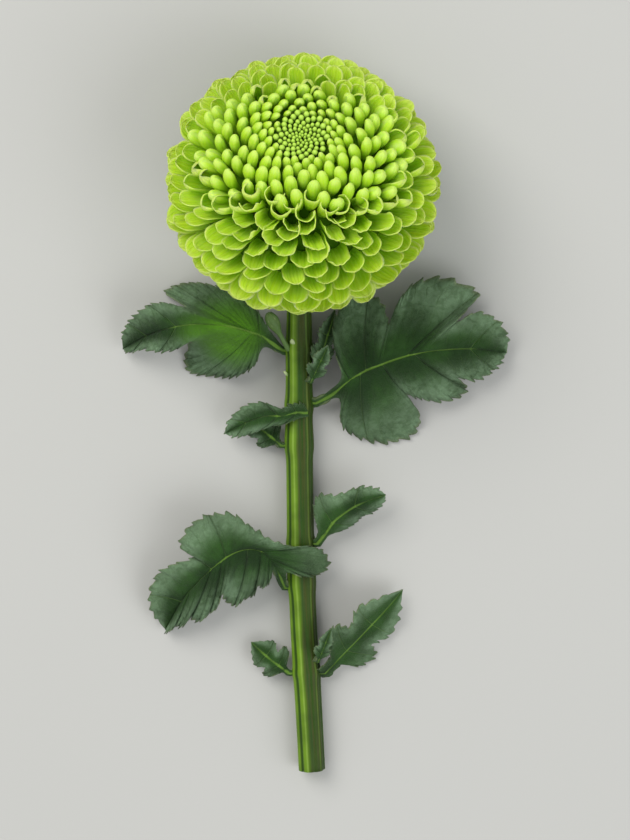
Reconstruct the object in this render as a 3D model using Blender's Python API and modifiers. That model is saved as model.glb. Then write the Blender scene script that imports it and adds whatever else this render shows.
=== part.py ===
"""Pompon chrysanthemum: one cut flower that lies on a table, with bloom, involucre, stem, leaves and side shoots.

Metres, +Z up. The flower is drawn on a plan whose zero lies under the bloom's centre: the stem runs to -Y, and the
bloom faces up and leans to +Y. PLAN_SHIFT puts the part's origin under the middle of the whole flower's box.
"""

import math

import bmesh
import bpy
import numpy as np
from mathutils import Vector

BLOOM_RADIUS = 0.035
BLOOM_HALF_DEPTH = 0.026
BLOOM_TILT = math.radians(55)  # the bloom's axis above the table
BLOOM_CENTRE_HEIGHT = 0.0277
RECEPTACLE_DROP = 0.0063  # from the bloom's centre down its axis to the point that the florets spread from
APEX_DIP = 0.07
LAST_FLORET_ANGLE = math.radians(127)

DIP_SPREAD = math.radians(17)

FLORET_SMALLEST = 0.0042
FLORET_LARGEST = 0.0088
FLORET_START = 0.00095  # spacing at the apex, before FLORET_SMALLEST holds it up
FLORET_GROWTH = 0.18
FLORET_ROOT = 0.50
FLORET_DEPTH = 0.0155
FLORET_THICKNESS = 0.0013
FLORET_CURL = 0.10
FLORET_STATIONS = ((0.0, 0.24), (0.62, 0.50), (0.90, 0.42))  # part of its length, half width in spacings
FLORET_CUP = 0.46  # depth of the hollow against the half width
GOLDEN_ANGLE = math.pi * (3 - math.sqrt(5))
PACKING = 0.866  # area of a floret's cell in a packing of triangles, in squared spacings

CORE_SEGMENTS = 18
CORE_RINGS = 12
CORE_DEPTH = 0.0085
CORE_FLOOR = -0.0125
CUTTER_SIZE = (0.1, 0.1, 0.02)

INVOLUCRE_TOP_RADIUS = 0.0088
INVOLUCRE_LENGTH = 0.0058
INVOLUCRE_RIDGE = 0.035
# Parts of the length and of the top radius; RAISED_BRACTS says which of each pair of points stands out in a row.
INVOLUCRE_ROWS = ((0.0, 1.00), (0.16, 0.98), (0.34, 0.90), (0.55, 0.76), (0.78, 0.56), (1.0, 0.36))
RAISED_BRACTS = (0, 0, 1, 0, 1, 0)
BRACTS = 13

STEM_END = -0.155
STEM_END_HEIGHT = 0.0033
STEM_NECK_RADIUS = 0.0027
STEM_RADIUS = 0.0033
STEM_RIBS = 6
STEM_RIB_DEPTH = 0.07
STEM_NODES = (-0.0440, -0.0585, -0.0690, -0.0945, -0.1050, -0.1290)
NODE_SWELLING = 0.10
NODE_WIDTH = 0.0022
NECK_BEND_END = (-0.0009, -0.0290, 0.0050)
NECK_HANDLE = 0.0105
NECK_RISE = 0.0006
NECK_THICKENS = (-0.010, -0.055)  # along the stem, from STEM_NECK_RADIUS to STEM_RADIUS

LEAF_THICKNESS = 0.0007
LEAF_CLEARANCE = 0.0001
LEAF_SOFTNESS = 0.0015
PETIOLE_THICKNESS = 0.0019
PETIOLE_REACH = 0.0022  # from the midrib out to where the blade has its own thickness
PETIOLE_END = 0.55
PETIOLE_SEAT = 0.0005
GAP = 0.0003
MERGE = 0.00001
LEAF_MERGE = 0.00005

BUD_SEAT = (-0.0425, 142)
BUD_DIRECTION = (-0.42, 0.80, 0.42)
BUD_PROFILE = ((0.0, 0.0), (0.7, 0.0), (0.7, 4.2), (1.1, 5.4), (1.6, 7.2), (1.6, 8.8), (1.0, 10.2), (0.0, 10.8))
MILLIMETRE = 0.001
BUD_SIDES = 10

PLAN_SHIFT = (-0.0032, 0.0615, 0.0)

AXIS = np.array((0.0, math.cos(BLOOM_TILT), math.sin(BLOOM_TILT)))
ACROSS = np.array((1.0, 0.0, 0.0))
UP_SIDE = np.cross(AXIS, ACROSS)
BLOOM_CENTRE = np.array((0.0, 0.0, BLOOM_CENTRE_HEIGHT))
RECEPTACLE = BLOOM_CENTRE - RECEPTACLE_DROP * AXIS


def clear_scene():
    """Removes whatever the file held before."""
    for old in list(bpy.data.objects):
        bpy.data.objects.remove(old)


def new_collection(name):
    made = bpy.data.collections.new(name)
    bpy.context.scene.collection.children.link(made)
    return made


def new_material(name, colour, roughness):
    """One plain Principled material."""
    made = bpy.data.materials.new(name)
    made.use_nodes = True
    shader = made.node_tree.nodes["Principled BSDF"]
    shader.inputs["Base Color"].default_value = (*colour, 1.0)
    shader.inputs["Roughness"].default_value = roughness
    return made


def new_object(name, mesh, material, parent):
    """An object in the flower's collection, on the parent that carries the plan to the part's origin."""
    made = bpy.data.objects.new(name, mesh)
    mesh.materials.clear()
    mesh.materials.append(material)
    flower.objects.link(made)
    made.parent = parent
    return made


def mesh_from(name, points, faces):
    made = bpy.data.meshes.new(name)
    made.from_pydata([tuple(p) for p in points], [], faces)
    made.update()
    return made


def outward(mesh):
    """Turns every face of a closed mesh to point out."""
    work = bmesh.new()
    work.from_mesh(mesh)
    bmesh.ops.recalc_face_normals(work, faces=work.faces)
    work.to_mesh(mesh)
    work.free()


def through(points, at):
    """Catmull-Rom curve through points, read at each value of at, which counts the points from 0."""
    points = np.asarray(points, float)
    at = np.asarray(at, float)
    step = np.clip(np.floor(at).astype(int), 0, len(points) - 2)
    part = (at - step)[:, None]
    ends = np.vstack((2 * points[0] - points[1], points, 2 * points[-1] - points[-2]))
    a, b, c, d = (ends[step + k] for k in range(4))
    bend = (2 * a - 5 * b + 4 * c - d) * part**2 + (3 * b - a - 3 * c + d) * part**3
    return 0.5 * (2 * b + (c - a) * part + bend)


def loft(sections, cap_end=True):
    """Faces round a list of equal rings, each joined to the next: capped at the start and, if asked, at the end."""
    rings, sides = len(sections), len(sections[0])
    faces = []
    for ring in range(rings - 1):
        for side in range(sides):
            here, there = ring * sides + side, ring * sides + (side + 1) % sides
            faces.append((here, there, there + sides, here + sides))
    faces.append(tuple(range(sides))[::-1])
    if cap_end:
        faces.append(tuple(range((rings - 1) * sides, rings * sides)))
    return np.concatenate(sections), faces


def ball_reach(angle):
    """Distance from the receptacle to the bloom's oblate surface at an angle from its axis, with the apex's dip."""
    out, along = np.sin(angle), np.cos(angle)
    a = out**2 / BLOOM_RADIUS**2 + along**2 / BLOOM_HALF_DEPTH**2
    b = -2 * along * RECEPTACLE_DROP / BLOOM_HALF_DEPTH**2
    c = RECEPTACLE_DROP**2 / BLOOM_HALF_DEPTH**2 - 1
    reach = (-b + np.sqrt(b**2 - 4 * a * c)) / (2 * a)
    return reach * (1 - APEX_DIP * np.exp(-((angle / DIP_SPREAD) ** 2)))


def floret_places():
    """Angle from the axis, turn round it and size of each floret, on a golden spiral that widens from the apex."""
    angle = np.linspace(0.0, LAST_FLORET_ANGLE, 2000)
    reach = ball_reach(angle)
    ring, height = reach * np.sin(angle), reach * np.cos(angle)
    travel = np.concatenate(([0.0], np.cumsum(np.hypot(np.diff(ring), np.diff(height)))))
    size = np.clip(FLORET_START + FLORET_GROWTH * travel, FLORET_SMALLEST, FLORET_LARGEST)
    density = 2 * math.pi * ring / (PACKING * size**2)
    count = np.concatenate(([0.0], np.cumsum((density[1:] + density[:-1]) / 2 * np.diff(travel))))
    order = np.arange(int(count[-1])) + 0.5
    place = np.interp(order, count, angle)
    return place, order * GOLDEN_ANGLE, np.interp(place, angle, size)


def floret_mesh(angle, turn, size):
    """One short spoon of a floret: four-sided sections from its root in the core to its tip, hollow side up."""
    radial = math.cos(turn) * ACROSS + math.sin(turn) * UP_SIDE
    forward = math.sin(angle) * radial + math.cos(angle) * AXIS
    up = math.sin(angle) * AXIS - math.cos(angle) * radial
    side = np.cross(forward, up)
    reach = float(ball_reach(np.array(angle)))
    root = max(FLORET_ROOT * reach, reach - FLORET_DEPTH)
    curl = FLORET_CURL * math.cos(angle) * (reach - root)
    sections = []
    for part, half in FLORET_STATIONS:
        middle = RECEPTACLE + (root + part * (reach - root)) * forward + curl * part**2 * up
        wide, cup = half * size, FLORET_CUP * half * size
        thick = min(FLORET_THICKNESS, 0.3 * size)
        ring = (
            middle + wide * side + cup * up,
            middle + (0.35 * thick - 0.1 * cup) * up,
            middle - wide * side + cup * up,
            middle - (0.65 * thick + 0.1 * cup) * up,
        )
        sections.append(np.array(ring))
    points, faces = loft(sections, cap_end=False)
    tip = RECEPTACLE + reach * forward + (curl + 0.10 * size) * up
    points = np.vstack((points, tip))
    last = len(points) - 1
    for side_number in range(4):
        here = last - 4 + side_number
        faces.append((here, last - 4 + (side_number + 1) % 4, last))
    return points, faces


def largest_body(mesh):
    """Keeps the mesh's largest body: fusing seals hollows and can leave loose scraps, and both are dropped."""
    work = bmesh.new()
    work.from_mesh(mesh)
    left = set(work.verts)
    bodies = []
    while left:
        stack = [left.pop()]
        body = set(stack)
        while stack:
            for edge in stack.pop().link_edges:
                for vert in edge.verts:
                    if vert in left:
                        left.remove(vert)
                        body.add(vert)
                        stack.append(vert)
        bodies.append(body)
    bodies.sort(key=len)
    scraps = [vert for body in bodies[:-1] for vert in body]
    bmesh.ops.delete(work, geom=scraps, context="VERTS")
    work.to_mesh(mesh)
    work.free()


def fuse(name, base, repeats, solver):
    """One Boolean union of base with the collection of its repeats, applied, and the repeats removed."""
    union = base.modifiers.new("fuse", "BOOLEAN")
    union.operation = "UNION"
    union.operand_type = "COLLECTION"
    union.collection = repeats
    union.solver = solver
    depsgraph = bpy.context.evaluated_depsgraph_get()
    fused = bpy.data.meshes.new_from_object(base.evaluated_get(depsgraph))
    base.modifiers.clear()
    fused.name = name
    base.data = fused
    for repeat in list(repeats.objects):
        bpy.data.objects.remove(repeat)
    bpy.data.collections.remove(repeats)
    largest_body(fused)


def make_bloom():
    """The head: florets on a golden spiral, their roots sunk in a smaller core, cut flat where it rests."""
    work = bmesh.new()
    bmesh.ops.create_uvsphere(work, u_segments=CORE_SEGMENTS, v_segments=CORE_RINGS, radius=1.0)
    for vert in work.verts:
        out = math.hypot(vert.co.x, vert.co.y)
        angle = math.atan2(out, vert.co.z)
        reach = float(ball_reach(np.array(angle))) - CORE_DEPTH
        turn = math.atan2(vert.co.y, vert.co.x)
        along = max(reach * math.cos(angle) - RECEPTACLE_DROP, CORE_FLOOR)
        radial = math.cos(turn) * ACROSS + math.sin(turn) * UP_SIDE
        vert.co = BLOOM_CENTRE + reach * math.sin(angle) * radial + along * AXIS
    core = bpy.data.meshes.new("bloom")
    work.to_mesh(core)
    work.free()
    outward(core)
    bloom = new_object("bloom", core, petal_green, plan)
    florets = new_collection("florets")
    for number, (angle, turn, size) in enumerate(zip(*floret_places())):
        points, faces = floret_mesh(float(angle), float(turn), float(size))
        floret = mesh_from(f"floret_{number}", points, faces)
        outward(floret)
        placed = bpy.data.objects.new(floret.name, floret)
        placed.parent = plan
        florets.objects.link(placed)
    fuse("bloom", bloom, florets, "MANIFOLD")
    work = bmesh.new()
    bmesh.ops.create_cube(work, size=1.0)
    below = bpy.data.meshes.new("table_cutter")
    for vert in work.verts:
        lowered = (vert.co.x, vert.co.y, vert.co.z - 0.5)
        vert.co = [part * size for part, size in zip(lowered, CUTTER_SIZE)]
    work.to_mesh(below)
    work.free()
    cutter = bpy.data.objects.new("table_cutter", below)
    cutter.parent = plan
    cutter.hide_render = True
    cutter.display_type = "WIRE"
    cutters.objects.link(cutter)
    rest = bloom.modifiers.new("rest", "BOOLEAN")
    rest.operation = "DIFFERENCE"
    rest.object = cutter
    rest.solver = "EXACT"
    return bloom


def make_involucre():
    """The cup of bracts below the florets: a turned cup whose wall has a low ridge for each bract."""
    sides = 2 * BRACTS
    turn = np.arange(sides) * 2 * math.pi / sides
    sections = []
    for (down, share), raised in zip(INVOLUCRE_ROWS, RAISED_BRACTS):
        ridge = np.where(np.arange(sides) % 2 == raised, 1.0, -1.0)
        radius = INVOLUCRE_TOP_RADIUS * share * (1 + INVOLUCRE_RIDGE * ridge)
        centre = BLOOM_CENTRE + (CORE_FLOOR - GAP - down * INVOLUCRE_LENGTH) * AXIS
        ring = centre + radius[:, None] * (np.cos(turn)[:, None] * ACROSS + np.sin(turn)[:, None] * UP_SIDE)
        sections.append(ring)
    points, faces = loft(sections)
    mesh = mesh_from("involucre", points, faces)
    outward(mesh)
    return new_object("involucre", mesh, bract_green, plan)


def stem_path():
    """The stem's centre line and radius: from the involucre along the bloom's axis, then down to and along the table."""
    start = BLOOM_CENTRE + (CORE_FLOOR - INVOLUCRE_LENGTH - 2 * GAP) * AXIS
    bend_end = np.array(NECK_BEND_END)
    part = np.linspace(0.0, 1.0, 9)[:, None]
    first, second = start - NECK_HANDLE * AXIS, bend_end + np.array((0.0, NECK_HANDLE, NECK_RISE))
    bend = (1 - part) ** 3 * start + 3 * (1 - part) ** 2 * part * first
    bend = bend + 3 * (1 - part) * part**2 * second + part**3 * bend_end
    run = np.array(
        (
            (-0.0009, -0.0360, 0.0048),
            (-0.0009, -0.0415, 0.0047),
            (-0.0009, -0.0440, 0.0047),
            (-0.0009, -0.0465, 0.0047),
            (-0.0009, -0.0550, 0.0046),
            (-0.0009, -0.0585, 0.0045),
            (-0.0009, -0.0620, 0.0045),
            (-0.0009, -0.0690, 0.0044),
            (-0.0008, -0.0730, 0.0044),
            (-0.0007, -0.0820, 0.0043),
            (-0.0006, -0.0915, 0.0042),
            (-0.0005, -0.0945, 0.0041),
            (-0.0004, -0.0980, 0.0041),
            (-0.0003, -0.1050, 0.0040),
            (-0.0001, -0.1090, 0.0040),
            (0.0003, -0.1180, 0.0038),
            (0.0008, -0.1260, 0.0037),
            (0.0010, -0.1290, 0.0037),
            (0.0012, -0.1320, 0.0037),
            (0.0018, -0.1430, 0.0035),
            (0.0024, STEM_END, STEM_END_HEIGHT),
        )
    )
    points = np.vstack((bend, run))
    grown = np.clip((NECK_THICKENS[0] - points[:, 1]) / (NECK_THICKENS[0] - NECK_THICKENS[1]), 0.0, 1.0)
    radius = STEM_NECK_RADIUS + (STEM_RADIUS - STEM_NECK_RADIUS) * grown
    for node in STEM_NODES:
        radius = radius * (1 + NODE_SWELLING * np.exp(-(((points[:, 1] - node) / NODE_WIDTH) ** 2)))
    return points, radius


def make_stem():
    """The ribbed stem: a fluted outline swept along the centre line, thicker at each leaf's node."""
    outline = bpy.data.curves.new("stem_outline", "CURVE")
    outline.dimensions = "2D"
    ring = outline.splines.new("POLY")
    sides = 2 * STEM_RIBS
    ring.points.add(sides - 1)
    ring.use_cyclic_u = True
    for number in range(sides):
        turn = 2 * math.pi * number / sides
        radius = 1 + STEM_RIB_DEPTH * (1 if number % 2 == 0 else -1)
        ring.points[number].co = (radius * math.cos(turn), radius * math.sin(turn), 0.0, 1.0)
    profile = bpy.data.objects.new("stem_outline", outline)
    profile.hide_render = True
    profile.display_type = "WIRE"
    cutters.objects.link(profile)
    curve = bpy.data.curves.new("stem", "CURVE")
    curve.dimensions = "3D"
    curve.bevel_mode = "OBJECT"
    curve.bevel_object = profile
    curve.use_fill_caps = True
    path = curve.splines.new("POLY")
    points, radius = stem_path()
    path.points.add(len(points) - 1)
    for number, (point, thick) in enumerate(zip(points, radius)):
        path.points[number].co = (*point, 1.0)
        path.points[number].radius = thick
    swept = bpy.data.objects.new("stem_sweep", curve)
    flower.objects.link(swept)
    depsgraph = bpy.context.evaluated_depsgraph_get()
    mesh = bpy.data.meshes.new_from_object(swept.evaluated_get(depsgraph))
    bpy.data.objects.remove(swept)
    work = bmesh.new()
    work.from_mesh(mesh)
    bmesh.ops.remove_doubles(work, verts=work.verts, dist=MERGE)
    bmesh.ops.recalc_face_normals(work, faces=work.faces)
    work.to_mesh(mesh)
    work.free()
    mesh.name = "stem"
    return new_object("stem", mesh, stem_green, plan)


def settle(height, lowest):
    """Keeps heights above the table: a soft clamp that leaves what is well above it as it is."""
    spare = height - lowest
    return lowest + 0.5 * (spare + np.sqrt(spare**2 + LEAF_SOFTNESS**2))


def stem_seat(along, clock):
    """The point just off the stem's side at a place along it, at an angle from +X up round the stem."""
    points, radius = stem_path()
    order = np.argsort(points[:, 1])
    centre = [np.interp(along, points[order, 1], points[order, axis]) for axis in (0, 2)]
    reach = np.interp(along, points[order, 1], radius[order]) * (1 + STEM_RIB_DEPTH) + GAP + PETIOLE_SEAT
    turn = math.radians(clock)
    return np.array((centre[0] + reach * math.cos(turn), along, centre[1] + reach * math.sin(turn)))


def leaf_surface(leaf, rows_per_span, columns):
    """The blade as a grid: each row runs from the left margin over the midrib to the right margin.

    Rows follow the leaf from its petiole to its tip. Left and right margins and the midrib are curves through the
    leaf's own landmarks, teeth push the margin out between them, and the height falls away from the midrib.
    """
    spans = len(leaf["left"]) - 1
    at = np.linspace(0.0, spans, spans * rows_per_span + 1)
    tooth = leaf["tooth"] * np.abs(np.sin(math.pi * at))[:, None]
    station = through(np.array(leaf["veins"])[:, None], at)[:, 0]
    seat = stem_seat(leaf["node"], leaf["clock"])
    midrib = ((0.0, 0.0, seat[2] / leaf["length"]), *leaf["midrib"])
    rib = through(midrib, station * (len(midrib) - 1))
    heading = math.radians(leaf["heading"])
    ahead = np.array((math.cos(heading), math.sin(heading)))
    aside = np.array((-math.sin(heading), math.cos(heading)))
    spread = np.linspace(0.0, 1.0, columns + 1)[:, None, None]
    halves = []
    for margin, slope, curl in ((leaf["left"], *leaf["fall_left"]), (leaf["right"], *leaf["fall_right"])):
        edge = through(margin, at)
        reach = edge - rib[:, :2]
        distance = np.linalg.norm(reach, axis=1, keepdims=True)
        edge = edge + tooth * reach / np.maximum(distance, 0.02) * np.minimum(distance / 0.1, 1.0)
        flat = rib[:, :2] + spread * (edge - rib[:, :2])
        away = spread[..., 0] * distance[:, 0]
        height = rib[:, 2] + slope * away + curl * away**2
        halves.append(np.dstack((flat, height)))
    grid = np.concatenate((halves[0][::-1], halves[1][1:]))
    size = leaf["length"]
    plan_xy = grid[..., :1] * ahead + grid[..., 1:2] * aside
    placed = np.dstack((plan_xy * size, grid[..., 2] * size)) + np.array((seat[0], seat[1], 0.0))
    placed[..., 2] = settle(placed[..., 2], LEAF_THICKNESS / 2 + LEAF_CLEARANCE)
    return placed, station


def make_leaf(leaf, columns):
    """A leaf: its surface split into triangles, thickened to a blade, with a thicker petiole and midrib."""
    grid, station = leaf_surface(leaf, 2, columns)
    across, rows = grid.shape[:2]
    work = bmesh.new()
    verts = [work.verts.new(point) for point in grid.reshape(-1, 3)]
    for column in range(across - 1):
        for row in range(rows - 1):
            a, b = verts[column * rows + row], verts[column * rows + row + 1]
            c, d = verts[(column + 1) * rows + row + 1], verts[(column + 1) * rows + row]
            work.faces.new((a, b, c, d))
    bmesh.ops.remove_doubles(work, verts=work.verts, dist=LEAF_MERGE)
    bmesh.ops.triangulate(work, faces=work.faces)
    bmesh.ops.dissolve_degenerate(work, edges=work.edges, dist=LEAF_MERGE)
    bmesh.ops.triangulate(work, faces=work.faces)
    mesh = bpy.data.meshes.new(leaf["name"])
    work.to_mesh(mesh)
    work.free()
    made = new_object(leaf["name"], mesh, leaf_green, plan)
    rib = made.vertex_groups.new(name="rib")
    spine = grid[columns]
    for vert in mesh.vertices:
        distance = np.linalg.norm(spine - np.array(vert.co), axis=1)
        nearest = int(np.argmin(distance))
        closeness = max(0.0, 1 - distance[nearest] / PETIOLE_REACH)
        thick = closeness * max(0.0, 1 - station[nearest] / PETIOLE_END)
        rib.add([vert.index], thick, "REPLACE")
    wall = made.modifiers.new("blade", "SOLIDIFY")
    wall.thickness = PETIOLE_THICKNESS
    wall.offset = 0.0
    wall.vertex_group = "rib"
    wall.thickness_vertex_group = LEAF_THICKNESS / PETIOLE_THICKNESS
    return made


# Leaves. Midrib points are (along, left, up), margin points (along, left), all in parts of the leaf's length, from
# the petiole's foot towards the tip. veins gives where on the midrib each margin row starts. fall_left and fall_right
# are the slope and the curl of the blade away from the midrib.
LEAVES = (
    {
        "name": "leaf_upper_right",
        "node": -0.0578,
        "clock": 8,
        "heading": 14.7,
        "length": 0.0508,
        "midrib": (
            (0.10, 0.03, 0.15),
            (0.25, 0.10, 0.22),
            (0.43, 0.13, 0.27),
            (0.60, 0.13, 0.27),
            (0.82, 0.08, 0.20),
            (1.0, 0.0, 0.07),
        ),
        "veins": (
            0.0, 0.138, 0.245, 0.281, 0.309, 0.339, 0.369, 0.399, 0.430, 0.449,
            0.492, 0.532, 0.573, 0.612, 0.664, 0.750, 0.834, 0.917, 1.0,
        ),
        "left": (
            (0.0, 0.022),
            (0.09, 0.05),
            (0.16, 0.11),
            (0.16, 0.24),
            (0.19, 0.38),
            (0.28, 0.47),
            (0.39, 0.47),
            (0.45, 0.41),
            (0.46, 0.31),
            (0.53, 0.40),
            (0.64, 0.47),
            (0.79, 0.45),
            (0.93, 0.34),
            (0.86, 0.28),
            (0.78, 0.23),
            (0.90, 0.25),
            (0.99, 0.18),
            (1.02, 0.08),
            (1.0, 0.0),
        ),
        "right": (
            (0.0, -0.022),
            (0.10, 0.005),
            (0.12, -0.03),
            (0.10, -0.10),
            (0.11, -0.18),
            (0.20, -0.26),
            (0.32, -0.30),
            (0.43, -0.29),
            (0.49, -0.20),
            (0.455, -0.07),
            (0.50, -0.09),
            (0.58, -0.14),
            (0.69, -0.155),
            (0.755, -0.12),
            (0.73, -0.05),
            (0.82, -0.085),
            (0.91, -0.06),
            (0.97, -0.02),
            (1.0, 0.0),
        ),
        "fall_left": (-0.10, -0.45),
        "fall_right": (-0.25, -1.0),
        "tooth": 0.012,
    },
    {
        "name": "leaf_upper_left",
        "node": -0.0442,
        "clock": 172,
        "heading": 180.0,
        "length": 0.0412,
        "midrib": (
            (0.08, -0.07, 0.24),
            (0.17, -0.13, 0.35),
            (0.36, -0.19, 0.45),
            (0.58, -0.19, 0.42),
            (0.80, -0.12, 0.25),
            (1.0, 0.0, 0.03),
        ),
        "veins": (
            0.0, 0.124, 0.257, 0.292, 0.306, 0.320, 0.334, 0.348, 0.362, 0.380,
            0.450, 0.640, 0.720, 0.795, 0.867, 0.934, 1.0,
        ),
        "left": (
            (0.0, 0.025),
            (0.10, -0.03),
            (0.14, 0.0),
            (0.16, 0.06),
            (0.22, 0.12),
            (0.30, 0.16),
            (0.39, 0.17),
            (0.50, 0.165),
            (0.59, 0.14),
            (0.61, 0.05),
            (0.57, -0.07),
            (0.66, -0.03),
            (0.76, -0.01),
            (0.86, -0.02),
            (0.93, 0.0),
            (0.98, 0.01),
            (1.0, 0.0),
        ),
        "right": (
            (0.0, -0.025),
            (0.06, -0.11),
            (0.11, -0.19),
            (0.16, -0.27),
            (0.23, -0.34),
            (0.32, -0.39),
            (0.43, -0.41),
            (0.55, -0.42),
            (0.66, -0.40),
            (0.73, -0.35),
            (0.60, -0.29),
            (0.72, -0.32),
            (0.82, -0.30),
            (0.90, -0.24),
            (0.96, -0.17),
            (1.0, -0.09),
            (1.0, 0.0),
        ),
        "fall_left": (-0.30, -1.4),
        "fall_right": (-0.10, -1.2),
        "tooth": 0.012,
    },
    {
        "name": "leaf_lower_left",
        "node": -0.1062,
        "clock": 165,
        "heading": 201.0,
        "length": 0.0335,
        "midrib": (
            (0.0, -0.20, 0.28),
            (0.04, -0.35, 0.38),
            (0.15, -0.43, 0.43),
            (0.31, -0.42, 0.43),
            (0.48, -0.36, 0.38),
            (0.74, -0.22, 0.23),
            (1.0, 0.0, 0.02),
        ),
        "veins": (
            0.0, 0.079, 0.163, 0.207, 0.233, 0.261, 0.289, 0.316, 0.353, 0.416, 0.476,
            0.539, 0.581, 0.617, 0.652, 0.698, 0.761, 0.821, 0.881, 0.940, 1.0,
        ),
        "left": (
            (0.03, 0.01),
            (0.035, -0.10),
            (0.03, -0.18),
            (0.06, -0.14),
            (0.10, -0.10),
            (0.15, -0.09),
            (0.18, -0.12),
            (0.24, -0.05),
            (0.32, -0.05),
            (0.41, -0.02),
            (0.46, -0.10),
            (0.45, -0.17),
            (0.53, -0.07),
            (0.62, -0.03),
            (0.72, 0.0),
            (0.76, -0.05),
            (0.85, -0.01),
            (0.89, -0.03),
            (0.94, -0.01),
            (0.98, 0.0),
            (1.0, 0.0),
        ),
        "right": (
            (-0.03, -0.01),
            (-0.045, -0.10),
            (-0.09, -0.12),
            (-0.16, -0.06),
            (-0.25, -0.02),
            (-0.38, -0.05),
            (-0.38, -0.17),
            (-0.31, -0.25),
            (-0.18, -0.31),
            (-0.06, -0.42),
            (0.05, -0.56),
            (0.16, -0.71),
            (0.33, -0.76),
            (0.50, -0.73),
            (0.62, -0.62),
            (0.56, -0.50),
            (0.73, -0.50),
            (0.87, -0.46),
            (1.00, -0.32),
            (1.03, -0.16),
            (1.0, 0.0),
        ),
        "fall_left": (-0.20, -0.5),
        "fall_right": (-0.05, -0.6),
        "tooth": 0.016,
    },
    {
        "name": "leaf_over_stem",
        "node": -0.0600,
        "clock": 62,
        "heading": 196.0,
        "length": 0.0225,
        "midrib": (
            (0.12, -0.04, 0.43),
            (0.28, -0.05, 0.45),
            (0.46, -0.10, 0.44),
            (0.70, -0.08, 0.34),
            (1.0, 0.0, 0.12),
        ),
        "veins": (0.0, 0.10, 0.20, 0.32, 0.46, 0.62, 0.80, 1.0),
        "left": (
            (0.0, 0.04),
            (0.12, 0.03),
            (0.30, 0.05),
            (0.43, 0.03),
            (0.56, 0.04),
            (0.72, 0.05),
            (0.86, 0.05),
            (1.0, 0.0),
        ),
        "right": (
            (0.0, -0.05),
            (0.03, -0.11),
            (0.15, -0.15),
            (0.28, -0.13),
            (0.45, -0.25),
            (0.66, -0.27),
            (0.88, -0.16),
            (1.0, 0.0),
        ),
        "fall_left": (-0.10, -0.8),
        "fall_right": (-0.10, -0.8),
        "tooth": 0.02,
    },
    {
        "name": "leaf_right_small",
        "node": -0.0945,
        "clock": 20,
        "heading": 37.0,
        "length": 0.0220,
        "midrib": (
            (0.18, 0.06, 0.35),
            (0.37, 0.12, 0.45),
            (0.67, 0.11, 0.50),
            (1.0, 0.0, 0.42),
        ),
        "veins": (0.0, 0.15, 0.28, 0.42, 0.56, 0.72, 0.86, 1.0),
        "left": (
            (0.0, 0.05),
            (0.10, 0.12),
            (0.20, 0.34),
            (0.36, 0.45),
            (0.54, 0.34),
            (0.80, 0.26),
            (0.95, 0.14),
            (1.0, 0.0),
        ),
        "right": (
            (0.0, -0.05),
            (0.17, 0.0),
            (0.34, -0.05),
            (0.49, -0.07),
            (0.60, -0.04),
            (0.76, -0.08),
            (0.92, -0.06),
            (1.0, 0.0),
        ),
        "fall_left": (-0.15, -0.5),
        "fall_right": (-0.40, -1.0),
        "tooth": 0.02,
    },
)


SMALL_OUTLINE = (
    (0.0, 0.0),
    (0.16, 0.02),
    (0.24, 0.17),
    (0.40, 0.22),
    (0.47, 0.12),
    (0.64, 0.20),
    (0.84, 0.11),
    (1.0, 0.0),
)


def small_leaf(name, seat, heading, length, heights, width, falls):
    """A short leaf with one pair of side lobes. heights are its midrib's, in parts of its length, from the foot."""
    foot = np.linspace(0.06, 0.0, len(SMALL_OUTLINE))
    left = tuple((along, out * width + base) for (along, out), base in zip(SMALL_OUTLINE, foot))
    stations = (0.18, 0.48, 0.78, 1.0)
    return {
        "name": name,
        "node": seat[0],
        "clock": seat[1],
        "heading": heading,
        "length": length,
        "midrib": tuple((along, 0.0, up) for along, up in zip(stations, heights)),
        "veins": (0.0, 0.14, 0.24, 0.34, 0.46, 0.60, 0.80, 1.0),
        "left": left,
        "right": tuple((along, -out) for along, out in left),
        "fall_left": falls[0],
        "fall_right": falls[1],
        "tooth": 0.02,
    }


DROOPING = ((-0.2, -0.8), (-0.2, -0.8))
CUPPED = ((0.8, -1.0), (0.1, -0.5))
FOLDED = ((0.9, -0.8), (-0.6, -0.6))
HALF_CUPPED = ((0.5, -1.0), (-0.2, -0.5))
SMALL_LEAVES = (
    small_leaf("leaf_left_small", (-0.0690, 168), 141, 0.0125, (0.36, 0.38, 0.30, 0.14), 1.3, DROOPING),
    small_leaf("leaf_bottom_left", (-0.1290, 170), 142, 0.0125, (0.40, 0.44, 0.34, 0.14), 1.5, DROOPING),
    small_leaf("leaf_bottom_right", (-0.1290, 10), 47, 0.0300, (0.15, 0.20, 0.20, 0.12), 0.9, FOLDED),
    small_leaf("axil_leaf_1", (-0.0500, 12), 73, 0.0170, (0.33, 0.35, 0.32, 0.26), 0.6, HALF_CUPPED),
    small_leaf("axil_leaf_2", (-0.0520, 48), 66, 0.0110, (0.85, 1.05, 1.20, 1.28), 0.9, CUPPED),
    small_leaf("axil_leaf_3", (-0.1255, 45), 70, 0.0100, (0.80, 0.95, 1.05, 1.05), 0.8, CUPPED),
)


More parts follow.
